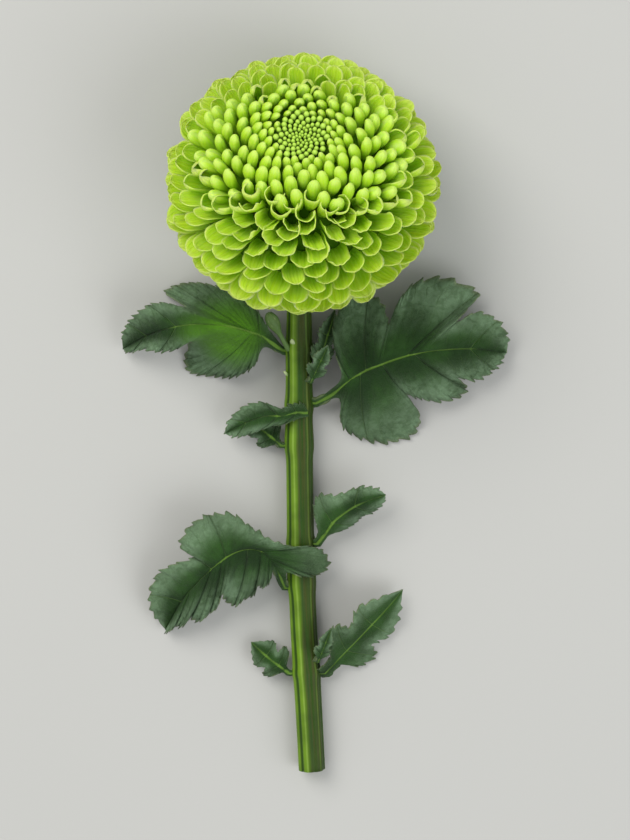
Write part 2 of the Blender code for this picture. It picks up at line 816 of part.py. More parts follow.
def make_bud():
    """The small side shoot at the upper left: a club-shaped bud on its own stalk, turned from a profile."""
    seat = stem_seat(*BUD_SEAT)
    outline = [(out * MILLIMETRE, 0.0, up * MILLIMETRE) for out, up in BUD_PROFILE[::-1]]
    mesh = mesh_from("axil_bud", outline, [])
    work = bmesh.new()
    work.from_mesh(mesh)
    work.verts.ensure_lookup_table()
    for number in range(len(outline) - 1):
        work.edges.new((work.verts[number], work.verts[number + 1]))
    work.to_mesh(mesh)
    work.free()
    bud = new_object("axil_bud", mesh, bract_green, plan)
    turned = bud.modifiers.new("turned", "SCREW")
    turned.steps = BUD_SIDES
    turned.render_steps = BUD_SIDES
    turned.use_merge_vertices = True
    turned.merge_threshold = MERGE
    towards = Vector(BUD_DIRECTION).normalized()
    bud.rotation_mode = "QUATERNION"
    bud.rotation_quaternion = towards.to_track_quat("Z", "Y")
    bud.location = seat
    return bud


clear_scene()
flower = new_collection("pompon_chrysanthemum")
cutters = new_collection("cutters")
plan = bpy.data.objects.new("plan", None)
plan.location = PLAN_SHIFT
flower.objects.link(plan)
bpy.context.view_layer.update()

petal_green = new_material("petal_green", (0.50, 0.72, 0.09), 0.55)
bract_green = new_material("bract_green", (0.13, 0.24, 0.05), 0.6)
stem_green = new_material("stem_green", (0.14, 0.26, 0.04), 0.5)
leaf_green = new_material("leaf_green", (0.04, 0.10, 0.03), 0.6)

make_bloom()
make_involucre()
make_stem()
make_bud()
for each_leaf in LEAVES:
    make_leaf(each_leaf, 2)
for each_leaf in SMALL_LEAVES:
    make_leaf(each_leaf, 1)
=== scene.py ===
"""A cut pompon chrysanthemum, dressed: florets, disc, receptacle, involucre, stem, leaves and side shoots.

Metres, +Z up. Each piece is a surface worked out with numpy. Together they replace all the frame's solids.
"""

import math

import bpy
import numpy as np
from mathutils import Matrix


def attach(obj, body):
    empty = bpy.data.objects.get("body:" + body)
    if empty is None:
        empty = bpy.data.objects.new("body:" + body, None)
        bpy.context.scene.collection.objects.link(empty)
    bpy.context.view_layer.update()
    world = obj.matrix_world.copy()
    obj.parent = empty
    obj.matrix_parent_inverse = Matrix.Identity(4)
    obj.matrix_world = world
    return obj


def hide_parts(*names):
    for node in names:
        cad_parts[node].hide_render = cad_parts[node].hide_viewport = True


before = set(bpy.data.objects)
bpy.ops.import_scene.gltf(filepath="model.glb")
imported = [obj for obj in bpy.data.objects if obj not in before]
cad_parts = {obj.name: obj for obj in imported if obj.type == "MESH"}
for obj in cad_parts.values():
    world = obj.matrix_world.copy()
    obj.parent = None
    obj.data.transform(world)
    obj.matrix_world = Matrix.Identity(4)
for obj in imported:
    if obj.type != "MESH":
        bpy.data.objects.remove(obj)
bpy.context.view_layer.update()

# The camera looks down on the lying flower from a little beyond the bloom, as the photograph looks at the
# standing one. A long lens keeps the bloom, which stands nearer, in proportion to the stem.
VIEW_HEIGHT = 0.214
LENS = 150.0
SENSOR = 36.0
VIEW_DISTANCE = VIEW_HEIGHT / 2 * LENS / (SENSOR / 2)
VIEW_LEAN = math.radians(7)
VIEW_CENTRE = (0.0, 0.001, 0.020)
camera_data = bpy.data.cameras.new("camera")
camera_data.lens = LENS
camera_data.sensor_width = SENSOR
camera = bpy.data.objects.new("camera", camera_data)
camera.location = (
    VIEW_CENTRE[0],
    VIEW_CENTRE[1] + VIEW_DISTANCE * math.sin(VIEW_LEAN),
    VIEW_CENTRE[2] + VIEW_DISTANCE * math.cos(VIEW_LEAN),
)
camera.rotation_euler = (-VIEW_LEAN, 0.0, 0.0)
bpy.context.scene.collection.objects.link(camera)
bpy.context.scene.camera = camera

# The studio: a plain pale table top, a large soft key light from the upper left, a weaker fill from the right
# and a pale room. A light's row gives its name, place, aim, side, power and colour.
TABLE_REACH = 6.0
TABLE_HEIGHT = -0.0002
TABLE_CORNERS = ((-1, -1), (1, -1), (1, 1), (-1, 1))
TABLE_COLOUR = (0.48, 0.48, 0.46, 1.0)
TABLE_ROUGHNESS = 0.85
LIGHTS = (
    ("key", (-0.55, 0.62, 0.95), (0.0, 0.02, 0.02), 0.80, 10.4, (1.0, 0.98, 0.94)),
    ("fill", (0.75, -0.45, 0.85), (0.0, 0.0, 0.02), 0.9, 6.0, (0.97, 0.99, 1.0)),
)
ROOM_COLOUR = (0.80, 0.81, 0.82, 1.0)
ROOM_STRENGTH = 0.78
table_mesh = bpy.data.meshes.new("table")
table_points = [(TABLE_REACH * x, TABLE_REACH * y, TABLE_HEIGHT) for x, y in TABLE_CORNERS]
table_mesh.from_pydata(table_points, [], [(0, 1, 2, 3)])
table = bpy.data.objects.new("table", table_mesh)
bpy.context.scene.collection.objects.link(table)
table_paint = bpy.data.materials.new("pale_table")
table_paint.use_nodes = True
table_shader = table_paint.node_tree.nodes["Principled BSDF"]
table_shader.inputs["Base Color"].default_value = TABLE_COLOUR
table_shader.inputs["Roughness"].default_value = TABLE_ROUGHNESS
table_mesh.materials.append(table_paint)


def soft_light(name, place, aim, side, power, colour):
    """A square area light at place that shines on aim."""
    data = bpy.data.lights.new(name, "AREA")
    data.size = side
    data.energy = power
    data.color = colour
    light = bpy.data.objects.new(name, data)
    light.location = place
    beam = np.array(aim) - np.array(place)
    pitch = math.atan2(math.hypot(beam[0], beam[1]), -beam[2])
    light.rotation_euler = (pitch, 0.0, math.atan2(-beam[0], beam[1]))
    bpy.context.scene.collection.objects.link(light)


for light_row in LIGHTS:
    soft_light(*light_row)
room = bpy.data.worlds.new("room")
room.use_nodes = True
room.node_tree.nodes["Background"].inputs["Color"].default_value = ROOM_COLOUR
room.node_tree.nodes["Background"].inputs["Strength"].default_value = ROOM_STRENGTH
bpy.context.scene.world = room
bpy.context.scene.view_settings.view_transform = "Standard"

# Bloom: 511 ray florets on one receptacle, on a golden spiral from the disc to the stem. Each grows as a tube
# from the receptacle, with its hollow towards the apex. Round the disc they are still closed, where they face
# the eye they are wavy cups, and further out they are grooved tongues, of which the last bend back.
PLAN_SHIFT = np.array((-0.0032, 0.0615, 0.0))
BLOOM_RADIUS = 0.035
BLOOM_HALF_DEPTH = 0.026
BLOOM_TILT = math.radians(55)
BLOOM_CENTRE_HEIGHT = 0.0277
RECEPTACLE_DROP = 0.0063
APEX_DIP = 0.11
APEX_DIP_WIDTH = math.radians(17)
LAST_FLORET_ANGLE = math.radians(127)
GOLDEN_ANGLE = math.pi * (3 - math.sqrt(5))
TRIANGLE_PACKING = 0.866
AXIS = np.array((0.0, math.cos(BLOOM_TILT), math.sin(BLOOM_TILT)))
ACROSS = np.array((1.0, 0.0, 0.0))
UP_SIDE = np.cross(AXIS, ACROSS)
BLOOM_CENTRE = PLAN_SHIFT + np.array((0.0, 0.0, BLOOM_CENTRE_HEIGHT))
RECEPTACLE = BLOOM_CENTRE - RECEPTACLE_DROP * AXIS

# Spacing of the florets along the arc from the apex: where it starts, its even rise, the soft step at the
# disc's rim with its place and width, and the easing further out with its place.
APEX_SPACING = 0.00085
SPACING_RISE = 0.100
SPACING_STEP = 0.0009
STEP_PLACE = 0.010
STEP_WIDTH = 0.0045
SPACING_EASE = 0.030
EASE_PLACE = 0.013
DISC_FLORET = 0.0019
LONGEST_FLORET = 0.0150
FLORET_ROOT = 0.0030
LENGTH_PER_SPACING = 2.3

# Degrees from the apex at the bloom's sides, its lower side and its upper side: where florets start to
# open, are open, start to flatten and are flat. CUPS gives where the lower side's cups give way to tongues.
OPENING = (48, 31, 28)
OPEN = (65, 55, 36)
FLATTENING = (64, 64, 52)
FLAT = (108, 108, 100)
CUPS = (47, 67)
TILT_CHANCE = 5

# How many degrees a floret leans to the apex near the disc and away from it near the stem, the hook of its
# tip, and how far chance turns the tip round the bloom and rolls the floret about its own line, in radians.
LEAN_TO_APEX = 9.5
LEAN_TO_STEM = 7
LEAN_CHANCE = 2.2
TIP_HOOK = math.radians(1.3)
TIP_TWIST = 0.09
TWIST_SPACING = 0.007
ROLL_CHANCE = 0.26
CUP_ROLL_CHANCE = 0.60

# What differs by chance from floret to floret, each from -1 to 1.
CHANCES = ("reach", "twist", "roll", "girth", "arc", "tilt", "lean", "mouth")

# A closed floret's rings from root to tip: their places, their girth and how deep the seam is sunk.
CAPSULE_WAY = np.array((0.0, 0.40, 0.62, 0.76, 0.87, 0.95, 0.99, 1.0))
CAPSULE_GIRTH = np.array((0.44, 0.66, 0.92, 1.00, 0.90, 0.64, 0.30, 0.04))
CAPSULE_SEAM = np.array((0.10, 0.15, 0.20, 0.24, 0.34, 0.50, 0.50, 0.0))
CAPSULE_SIDES = 10
CAPSULE_FLATNESS = 0.86
SEAM_WIDTH = 0.45

# An opened floret's grid: rows up to where the tip starts to round, rows of the rounding, and points
# across. The cups are few and face the eye, so theirs is finer.
TONGUE_GRID = (np.array((0.0, 0.40, 0.76)), np.array((0.0, 0.36, 0.66, 0.88, 1.0)), 9)
CUP_GRID = (np.array((0.0, 0.30, 0.50, 0.66, 0.78, 0.89)), np.sin(np.linspace(0.0, math.pi / 2, 9)), 21)
FLORET_THICKNESS = 0.00050
THICKNESS_PER_SPACING = 0.13
GROOVE_DEPTH = 0.035
FRILL = 0.024
CUP_FRILL = 0.045
TABLE_CLEARANCE = 0.00015


def smooth(value, low, high):
    """0 below low, 1 above high, and a smooth rise between them."""
    part = np.clip((value - low) / (high - low), 0.0, 1.0)
    return part * part * (3 - 2 * part)


def settle(height, lowest, softness):
    """Keeps heights above the table: a soft clamp that leaves what is well above it as it is."""
    spare = height - lowest
    return lowest + 0.5 * (spare + np.sqrt(spare**2 + softness**2))


def unit(vectors, least=1e-12):
    """Vectors scaled to length 1, apart from those shorter than least."""
    return vectors / np.maximum(np.linalg.norm(vectors, axis=-1, keepdims=True), least)


def circle(turn, first, second):
    """Unit circle in the plane of two directions: cos(turn) of the first and sin(turn) of the second."""
    return np.cos(turn)[..., None] * first + np.sin(turn)[..., None] * second


def towards(angle, turn):
    """Unit direction at an angle from the bloom's axis and a turn round it."""
    return np.sin(angle)[..., None] * circle(turn, ACROSS, UP_SIDE) + np.cos(angle)[..., None] * AXIS


def ball_reach(angle):
    """Distance from the receptacle to the bloom's surface at an angle from its axis.

    The surface is an ellipsoid with a dip at the apex: the positive root of the ellipse's quadratic, less
    the dip.
    """
    out, along = np.sin(angle), np.cos(angle)
    a = out**2 / BLOOM_RADIUS**2 + along**2 / BLOOM_HALF_DEPTH**2
    b = -2 * along * RECEPTACLE_DROP / BLOOM_HALF_DEPTH**2
    c = RECEPTACLE_DROP**2 / BLOOM_HALF_DEPTH**2 - 1
    reach = (-b + np.sqrt(b**2 - 4 * a * c)) / (2 * a)
    return reach * (1 - APEX_DIP * np.exp(-((angle / APEX_DIP_WIDTH) ** 2)))


def floret_places():
    """Angle from the axis, turn round it and spacing of each floret, on a golden spiral out from the apex.

    The count grows by the ring's length over the area of a floret's cell, and one floret stands at each
    count.
    """
    angle = np.linspace(0.0, LAST_FLORET_ANGLE, 4000)
    reach = ball_reach(angle)
    ring, height = reach * np.sin(angle), reach * np.cos(angle)
    travel = np.concatenate(([0.0], np.cumsum(np.hypot(np.diff(ring), np.diff(height)))))
    step = SPACING_STEP * (1 + np.tanh((travel - STEP_PLACE) / STEP_WIDTH))
    size = APEX_SPACING + SPACING_RISE * travel + step
    size = size - SPACING_EASE * np.maximum(travel - EASE_PLACE, 0.0)
    density = 2 * math.pi * ring / (TRIANGLE_PACKING * size**2)
    count = np.concatenate(([0.0], np.cumsum((density[1:] + density[:-1]) / 2 * np.diff(travel))))
    order = np.arange(int(count[-1])) + 0.5
    place = np.interp(order, count, angle)
    return place, order * GOLDEN_ANGLE, np.interp(place, angle, size)


def floret_length(size):
    """Length of florets whose neighbours are size apart."""
    return np.minimum(LONGEST_FLORET, FLORET_ROOT + LENGTH_PER_SPACING * size)


def floret_opening(angle, turn, chance):
    """How far each floret has opened, from 0 for a capsule to 1 for a spoon, and two masks for its shape.

    The second mask marks the lower side's cups, which stay hollow, and the third how far a spoon has
    flattened to a tongue. Each is a smooth rise over the tilt, which is the angle from the apex with a
    little chance.
    """
    tilt = np.degrees(angle) + TILT_CHANCE * chance["tilt"]
    lower = smooth(-np.sin(turn), 0.45, 0.95)
    upper = smooth(np.sin(turn), 0.20, 0.90)

    def place(degrees):
        beside, below, above = degrees
        return beside + (below - beside) * lower + (above - beside) * upper

    opened = smooth(tilt, place(OPENING), place(OPEN))
    deep = lower * (1 - smooth(tilt, *CUPS))
    return opened, deep, smooth(tilt, place(FLATTENING), place(FLAT))


def floret_frames(angle, turn, size, chance, way, roll):
    """Points along each floret's centre line, and the unit vectors across it and towards the bloom's apex.

    The line is a quadratic curve from the receptacle to the bloom's surface, and way goes from 0 to 1 along
    it. Round the disc it bends in towards the apex, and near the stem away from it. roll turns it about its
    line.
    """
    tilt = np.degrees(angle) + TILT_CHANCE * chance["tilt"]
    lean = LEAN_TO_APEX * smooth(tilt, 3, 24) * (1 - smooth(tilt, 26, 54))
    lean = lean - LEAN_TO_STEM * smooth(tilt, 85, 127)
    lean = lean + LEAN_CHANCE * chance["lean"] * smooth(tilt, 8, 30)
    reach = ball_reach(angle) * (1 + 0.018 * chance["reach"])
    length = floret_length(size)
    root_way = towards(angle + np.radians(lean), turn)
    root = RECEPTACLE + (reach - length)[:, None] * root_way
    elbow = RECEPTACLE + (reach - 0.40 * length)[:, None] * root_way
    tip_angle = np.maximum(angle - TIP_HOOK * smooth(tilt, 5, 16) * (1 - smooth(tilt, 16, 40)), 0.0)
    tip_turn = turn + TIP_TWIST * chance["twist"] * size / TWIST_SPACING
    tip = RECEPTACLE + reach[:, None] * towards(tip_angle, tip_turn)
    part = way[..., None]
    spine = (1 - part) ** 2 * root[:, None] + 2 * part * (1 - part) * elbow[:, None]
    spine = spine + part**2 * tip[:, None]
    tangent = unit(2 * (1 - part) * (elbow - root)[:, None] + 2 * part * (tip - elbow)[:, None])
    side = unit(np.cross(root_way, AXIS - (root_way @ AXIS)[:, None] * root_way))
    side = np.broadcast_to(side[:, None], tangent.shape)
    up = np.cross(side, tangent)
    roll = roll[:, None, None]
    return spine, np.cos(roll) * side + np.sin(roll) * up, np.cos(roll) * up - np.sin(roll) * side


def closed_florets(angle, turn, size, chance):
    """Florets that are still shut: narrow-footed capsules whose edges meet in a seam on the apex's side.

    Rings of points from the root to a blunt tip. The seam is sunk by a bell curve, and notches the tip.
    """
    way = np.broadcast_to(CAPSULE_WAY, (len(angle), len(CAPSULE_WAY)))
    spine, side, up = floret_frames(angle, turn, size, chance, way, ROLL_CHANCE * chance["roll"])
    turned = np.linspace(-math.pi, math.pi, CAPSULE_SIDES + 1)
    seam = np.exp(-(((math.pi - np.abs(turned)) / SEAM_WIDTH) ** 2))
    share = 1.01 - 0.19 * smooth(size, 0.0026, 0.0048)
    radius = (0.5 * share * size * (1 + 0.08 * chance["girth"]))[:, None, None] * CAPSULE_GIRTH[:, None]
    radius = radius * (1 - CAPSULE_SEAM[:, None] * seam)
    wheel = circle(turned, -CAPSULE_FLATNESS * up[:, :, None], side[:, :, None])
    coordinates = {
        "along": np.broadcast_to(CAPSULE_WAY[:, None], radius.shape),
        "across": np.broadcast_to(np.abs(turned) / math.pi, radius.shape),
        "chance": np.broadcast_to(chance["girth"][:, None, None], radius.shape),
    }
    return spine[:, :, None] + radius[..., None] * wheel, coordinates


def open_florets(angle, turn, size, chance, body, end, columns):
    """Opened florets as cupped blades: an arc-shaped section carried along a bent line to a rounded tip.

    The arc is almost a closed tube where a floret has just opened, and a shallow, grooved tongue near the
    stem. It goes from the half arc of the tube to that of the mouth. Gives the outer and the inner sheet.
    """
    opened, deep, flat = (mask[:, None] for mask in floret_opening(angle, turn, chance))
    wide = 0.84 + 0.14 * opened[:, 0] + 0.12 * flat[:, 0] + 0.14 * deep[:, 0]
    wide = 0.5 * wide * size * (1 + 0.08 * chance["girth"])
    rounding = ((1.15 - 0.55 * deep[:, 0]) * wide / floret_length(size))[:, None]
    way = np.concatenate((body * (1 - rounding), 1 - rounding + rounding * end), axis=1)
    close = np.concatenate((np.zeros_like(body), end))[None]
    roll = (ROLL_CHANCE + CUP_ROLL_CHANCE * deep[:, 0]) * chance["roll"]
    spine, side, up = floret_frames(angle, turn, size, chance, way, roll)
    taper = (1 - (0.998 - 0.74 * deep) * close**2.3) ** 0.5
    swell = smooth(way, 0.10 - 0.10 * opened, 0.82 - 0.20 * opened)
    flare = 1 + 0.18 * deep * smooth(way, 0.75, 1.0)
    width = wide[:, None] * (0.42 + 0.58 * swell) * taper * flare
    tube = np.radians(86 + (66 - 24 * deep) * (1 - opened) - 40 * flat + 4 * chance["arc"][:, None])
    mouth = 72 + (78 - 34 * deep) * (1 - opened) - 34 * flat + (5 + 20 * deep) * chance["mouth"][:, None]
    mouth = np.radians(mouth)
    half_arc = tube + (mouth - tube) * smooth(way, 0.45, 0.92)
    arc_radius = width / np.sin(np.minimum(half_arc, math.pi / 2))
    full_radius = wide[:, None] / np.sin(np.minimum(mouth, math.pi / 2))
    hold = (0.90 - 0.60 * opened - 0.15 * flat) * smooth(way, 0.3, 0.8)
    middle = arc_radius + hold * np.maximum(full_radius - arc_radius, 0.0)
    squash = (1 - 0.42 * opened * (1 - deep))[..., None]
    crowd = 0.4 * math.pi
    spread = (np.sin(np.linspace(-1.0, 1.0, columns) * crowd) / math.sin(crowd))[None, None, :]
    spacing = size[:, None, None]
    groove = GROOVE_DEPTH * spacing * smooth(way, 0.35, 0.8)[..., None] * np.cos(3 * math.pi * spread)
    groove = groove * taper[..., None] * (0.4 + 0.6 * opened[..., None])
    ripple = np.sin(9 * way + 3 * chance["twist"][:, None])[..., None] * np.sign(spread)
    ripple = ripple + np.sin(13 * way + 3 * chance["lean"][:, None])[..., None]
    frill = (FRILL + CUP_FRILL * deep)[..., None] * spacing
    ripple = frill * ripple * spread**4 * smooth(way, 0.5, 0.8)[..., None]
    thick = np.minimum(FLORET_THICKNESS, THICKNESS_PER_SPACING * spacing) * (1 - 0.20 * spread**2)
    thick = thick * (0.35 + 0.65 * taper[..., None]) * (1 - 0.55 * deep[..., None])

    def sheet(offset, pull):
        skew = 0.10 * chance["roll"][:, None, None] * (1 - spread**2)
        turned = half_arc[..., None] * (spread * pull + skew)
        radius = arc_radius[..., None] - offset
        lift = squash * (middle[..., None] - radius * np.cos(turned)) + groove + ripple
        points = spine[:, :, None] + (radius * np.sin(turned))[..., None] * side[:, :, None]
        points = points + lift[..., None] * up[:, :, None]
        points[..., 2] = settle(points[..., 2], TABLE_CLEARANCE, 0.0008)
        return points

    shape = np.broadcast_shapes(way[..., None].shape, spread.shape)
    coordinates = {
        "along": np.broadcast_to(way[..., None], shape),
        "across": np.broadcast_to(spread, shape),
        "chance": np.broadcast_to(chance["girth"][:, None, None], shape),
    }
    return sheet(0.0, 1.0), sheet(thick, 0.97), coordinates


def blade_mesh(name, outer, inner, coordinates):
    """One mesh of many closed blades. outer and inner are (blades, rows, columns, 3); the rims join the two.

    The faces are turned round if the volume that they enclose comes out negative.
    """
    blades, rows, columns = outer.shape[:3]
    grid = np.arange(rows * columns).reshape(rows, columns)
    sheet = np.stack((grid[:-1, :-1], grid[:-1, 1:], grid[1:, 1:], grid[1:, :-1]), axis=-1).reshape(-1, 4)
    border = np.concatenate((grid[0, :], grid[1:, -1], grid[-1, -2::-1], grid[-2:0:-1, 0]))
    ahead = np.roll(border, -1)
    shift = rows * columns
    rim = np.stack((border, border + shift, ahead + shift, ahead), axis=-1)
    pattern = np.concatenate((sheet, sheet[:, ::-1] + shift, rim))
    starts = (np.arange(blades) * 2 * shift)[:, None, None]
    faces = (pattern[None] + starts).reshape(-1, 4)
    sheets = (outer.reshape(blades, -1, 3), inner.reshape(blades, -1, 3))
    points = np.concatenate(sheets, axis=1).reshape(-1, 3)
    corner = points[faces]
    volume = np.einsum("ij,ij->", np.cross(corner[:, 0], corner[:, 1]), corner[:, 2])
    volume += np.einsum("ij,ij->", np.cross(corner[:, 0], corner[:, 2]), corner[:, 3])
    if volume < 0:
        faces = faces[:, ::-1]
    mesh = bpy.data.meshes.new(name)
    mesh.vertices.add(len(points))
    mesh.vertices.foreach_set("co", points.ravel())
    mesh.loops.add(faces.size)
    mesh.loops.foreach_set("vertex_index", faces.ravel())
    mesh.polygons.add(len(faces))
    mesh.polygons.foreach_set("loop_start", np.arange(len(faces)) * 4)
    mesh.update(calc_edges=True)
    mesh.shade_smooth()
    for label, values in coordinates.items():
        flat_values = values.reshape(blades, -1)
        both = np.concatenate((flat_values, flat_values), axis=1).ravel()
        mesh.attributes.new(label, "FLOAT", "POINT").data.foreach_set("value", both.astype(np.float32))
    return mesh


def tube_mesh(name, rings, coordinates):
    """One mesh of many closed tubes. rings is (tubes, rows, points, 3), and its last point repeats the first.

    coordinates holds a value for each point of the rings, or one for each ring.
    """
    rings = rings[:, :, :-1]
    tubes, rows, sides = rings.shape[:3]
    grid = np.arange(rows * sides).reshape(rows, sides)
    wrapped = np.roll(grid, -1, axis=1)
    walls = np.stack((grid[:-1], wrapped[:-1], wrapped[1:], grid[1:]), axis=-1).reshape(-1, 4)
    starts = np.arange(tubes) * rows * sides
    quads = (walls[None] + starts[:, None, None]).reshape(-1, 4).tolist()
    ends = np.concatenate((starts[:, None] + grid[0, ::-1], starts[:, None] + grid[-1])).tolist()
    mesh = bpy.data.meshes.new(name)
    mesh.from_pydata(rings.reshape(-1, 3).tolist(), [], quads + ends)
    mesh.shade_smooth()
    for label, values in coordinates.items():
        spread = np.broadcast_to(values[:, :, :sides], (tubes, rows, sides)).astype(np.float32)
        mesh.attributes.new(label, "FLOAT", "POINT").data.foreach_set("value", spread.ravel())
    return mesh


def show(name, mesh, material, slot, *nodes):
    """Puts a finished mesh in the scene with its material: it rides on the flower and stands for its solids.
    slot is not used.
    """
    piece = bpy.data.objects.new(name, mesh)
    mesh.materials.clear()
    mesh.materials.append(material)
    bpy.context.scene.collection.objects.link(piece)
    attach(piece, "root")
    if nodes:
        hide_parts(*nodes)
    return piece


def add_node(tree, kind, **settings):
    """Adds a shader node. A setting names one of the node's own properties, or else one of its inputs."""
    made = tree.nodes.new(kind)
    for label, value in settings.items():
        if hasattr(made, label):
            setattr(made, label, value)
        else:
            made.inputs[label].default_value = value
    return made


def connect(value, socket):
    """Feeds a socket from another socket, or gives it a number or a colour."""
    if isinstance(value, (int, float)):
        socket.default_value = value
    elif isinstance(value, tuple):
        socket.default_value = (*value, 1.0)
    else:
        socket.id_data.links.new(value, socket)


def attribute(tree, label):
    """The socket that gives a vertex attribute's value."""
    return add_node(tree, "ShaderNodeAttribute", attribute_name=label).outputs["Fac"]


def between(value, low, high):
    """A socket that rises smoothly from 0 to 1 as value goes from low to high."""
    made = add_node(value.id_data, "ShaderNodeMapRange", interpolation_type="SMOOTHSTEP")
    for label, setting in (("From Min", low), ("From Max", high), ("Value", value)):
        connect(setting, made.inputs[label])
    return made.outputs["Result"]


def maths(operation, first, second=0.0):
    """One arithmetic node; at least one of its two inputs is a socket, and the other may be a number."""
    tree = (second if isinstance(first, float) else first).id_data
    made = add_node(tree, "ShaderNodeMath", operation=operation)
    connect(first, made.inputs[0])
    connect(second, made.inputs[1])
    return made.outputs[0]


def times(first, second):
    """The product of two sockets or numbers."""
    return maths("MULTIPLY", first, second)


def plus(first, second):
    """The sum of two sockets or numbers."""
    return maths("ADD", first, second)


def blend(factor, first, second):
    """A colour that goes from first to second, each a socket or a colour, as factor goes from 0 to 1."""
    made = add_node(factor.id_data, "ShaderNodeMix", data_type="RGBA")
    connect(factor, made.inputs["Factor"])
    connect(first, made.inputs[6])
    connect(second, made.inputs[7])
    return made.outputs[2]


def noise(place, **settings):
    """The value of a noise texture at a place."""
    made = add_node(place.id_data, "ShaderNodeTexNoise", **settings)
    connect(place, made.inputs["Vector"])
    return made.outputs["Fac"]


def emboss(shader, height, strength, depth):
    """Gives a shader the relief of a height."""
    relief = add_node(shader.id_data, "ShaderNodeBump", Strength=strength, Distance=depth)
    connect(height, relief.inputs["Height"])
    connect(relief.outputs["Normal"], shader.inputs["Normal"])


def new_finish(name, roughness, specular=0.5):
    """A material with one Principled shader: gives the material, its tree and the shader."""
    made = bpy.data.materials.new(name)
    made.use_nodes = True
    shader = made.node_tree.nodes["Principled BSDF"]
    shader.inputs["Roughness"].default_value = roughness
    shader.inputs["Specular IOR Level"].default_value = specular
    return made, made.node_tree, shader


# Petal: living tissue that light sinks into, deep green at the foot, partly its own colour and partly painted
# shade where the feet sit deep in the bloom, yellow-green above, with fine pale veins and mottling, and pale
# along the rims. Florets differ a little in depth of colour.
PETAL_DEEP = (0.290, 0.520, 0.008)
PETAL_BODY = (0.455, 0.700, 0.020)
PETAL_PALE = (0.560, 0.750, 0.150)
PETAL_LIGHT_DEPTH = 0.0016
PETAL_LIGHT_COLOURS = (0.8, 1.0, 0.25)
VEINS_ACROSS = 21.0
petal, tree, shader = new_finish("petal", 0.60, 0.35)
along, across, chance = attribute(tree, "along"), attribute(tree, "across"), attribute(tree, "chance")
side_edge = between(maths("ABSOLUTE", across), 0.78, 1.0)
tip_edge = between(along, 0.86, 1.0)
rim = times(maths("MAXIMUM", side_edge, tip_edge), between(along, 0.55, 0.85))
# Darker green towards the foot: partly the florets' own colour, partly painted shade deep in the bloom.
body = blend(between(along, 0.38, 0.80), PETAL_DEEP, PETAL_BODY)
body = blend(times(between(chance, -0.2, 1.0), 0.30), body, PETAL_DEEP)
veins = maths("SINE", times(across, VEINS_ACROSS))
body = blend(times(between(veins, 0.2, 1.0), 0.16), body, PETAL_PALE)
place = add_node(tree, "ShaderNodeTexCoord").outputs["Object"]
mottle = between(noise(place, Scale=260.0, Detail=3.0), 0.42, 0.68)
body = blend(times(mottle, 0.22), body, PETAL_PALE)
body = blend(times(rim, 0.85), body, PETAL_PALE)
connect(body, shader.inputs["Base Color"])
shader.inputs["Subsurface Weight"].default_value = 0.55
shader.inputs["Subsurface Radius"].default_value = PETAL_LIGHT_COLOURS
shader.inputs["Subsurface Scale"].default_value = PETAL_LIGHT_DEPTH
emboss(shader, veins, 0.25, 0.0003)

angles, turns, sizes = floret_places()
draws = np.random.default_rng(7).uniform(-1.0, 1.0, (len(CHANCES), len(angles)))
chances = dict(zip(CHANCES, draws))
openness, cup_depth, _ = floret_opening(angles, turns, chances)
young = sizes < DISC_FLORET
shut = ~young & (openness < 0.03)
cupped = ~young & ~shut & (cup_depth > 0.10)
opened = ~young & ~shut & ~cupped


def chosen(mask):
    """Angle, turn, spacing and chances of the florets that a mask picks."""
    return angles[mask], turns[mask], sizes[mask], {label: draw[mask] for label, draw in chances.items()}


show("florets", blade_mesh("florets", *open_florets(*chosen(opened), *TONGUE_GRID)), petal, "petal", "bloom")
cups = blade_mesh("cupped_florets", *open_florets(*chosen(cupped), *CUP_GRID))
show("cupped_florets", cups, petal, "petal")
show("closed_florets", tube_mesh("closed_florets", *closed_florets(*chosen(shut))), petal, "petal")

# Disc: the youngest florets at the apex, still closed, deep green at their feet, partly their own colour and
# partly painted shade between them, and pale on top. Each is a small round-topped tube, a ring of six points
# carried up a bead's profile.
DISC_DEEP_AND_SHADE = (0.035, 0.110, 0.002)
DISC_TOP = (0.480, 0.730, 0.080)
BEAD_ROWS = np.array((0.0, 0.35, 0.62, 0.80, 0.93, 1.0))
BEAD_GIRTH = np.array((0.26, 0.32, 0.42, 0.45, 0.33, 0.06))
BEAD_SIDES = 6
BEAD_LENGTH = 0.0030
BEAD_LENGTH_PER_SPACING = 0.6
BEAD_UNEVENNESS = 0.00030


def disc_beads(angle, turn, size):
    """Rings of points that stand on the line from the receptacle to the bloom's surface."""
    chance = np.random.default_rng(5).uniform(-1.0, 1.0, (2, len(angle)))
    way = towards(angle, turn)
    side = unit(np.cross(way, UP_SIDE))
    other = np.cross(way, side)
    reach = ball_reach(angle) + BEAD_UNEVENNESS * chance[0]
    length = BEAD_LENGTH + BEAD_LENGTH_PER_SPACING * size
    height = reach[:, None] - length[:, None] * (1 - BEAD_ROWS[None])
    centre = RECEPTACLE + height[..., None] * way[:, None]
    radius = ((size * (1 + 0.12 * chance[1]))[:, None] * BEAD_GIRTH[None])[..., None, None]
    ring = np.linspace(0.0, 2 * math.pi, BEAD_SIDES + 1)
    return centre[:, :, None] + radius * circle(ring, side[:, None, None], other[:, None, None])


disc_finish, tree, shader = new_finish("disc", 0.5)
# Dark at the feet: partly the florets' own green, partly painted shade between the crowded beads.
disc_green = blend(between(attribute(tree, "along"), 0.55, 1.0), DISC_DEEP_AND_SHADE, DISC_TOP)
connect(disc_green, shader.inputs["Base Color"])
beads = disc_beads(*chosen(young)[:3])
bead_values = {"along": np.broadcast_to(BEAD_ROWS[None, :, None], beads.shape[:3])}
show("disc_florets", tube_mesh("disc_florets", beads, bead_values), disc_finish, "petal")
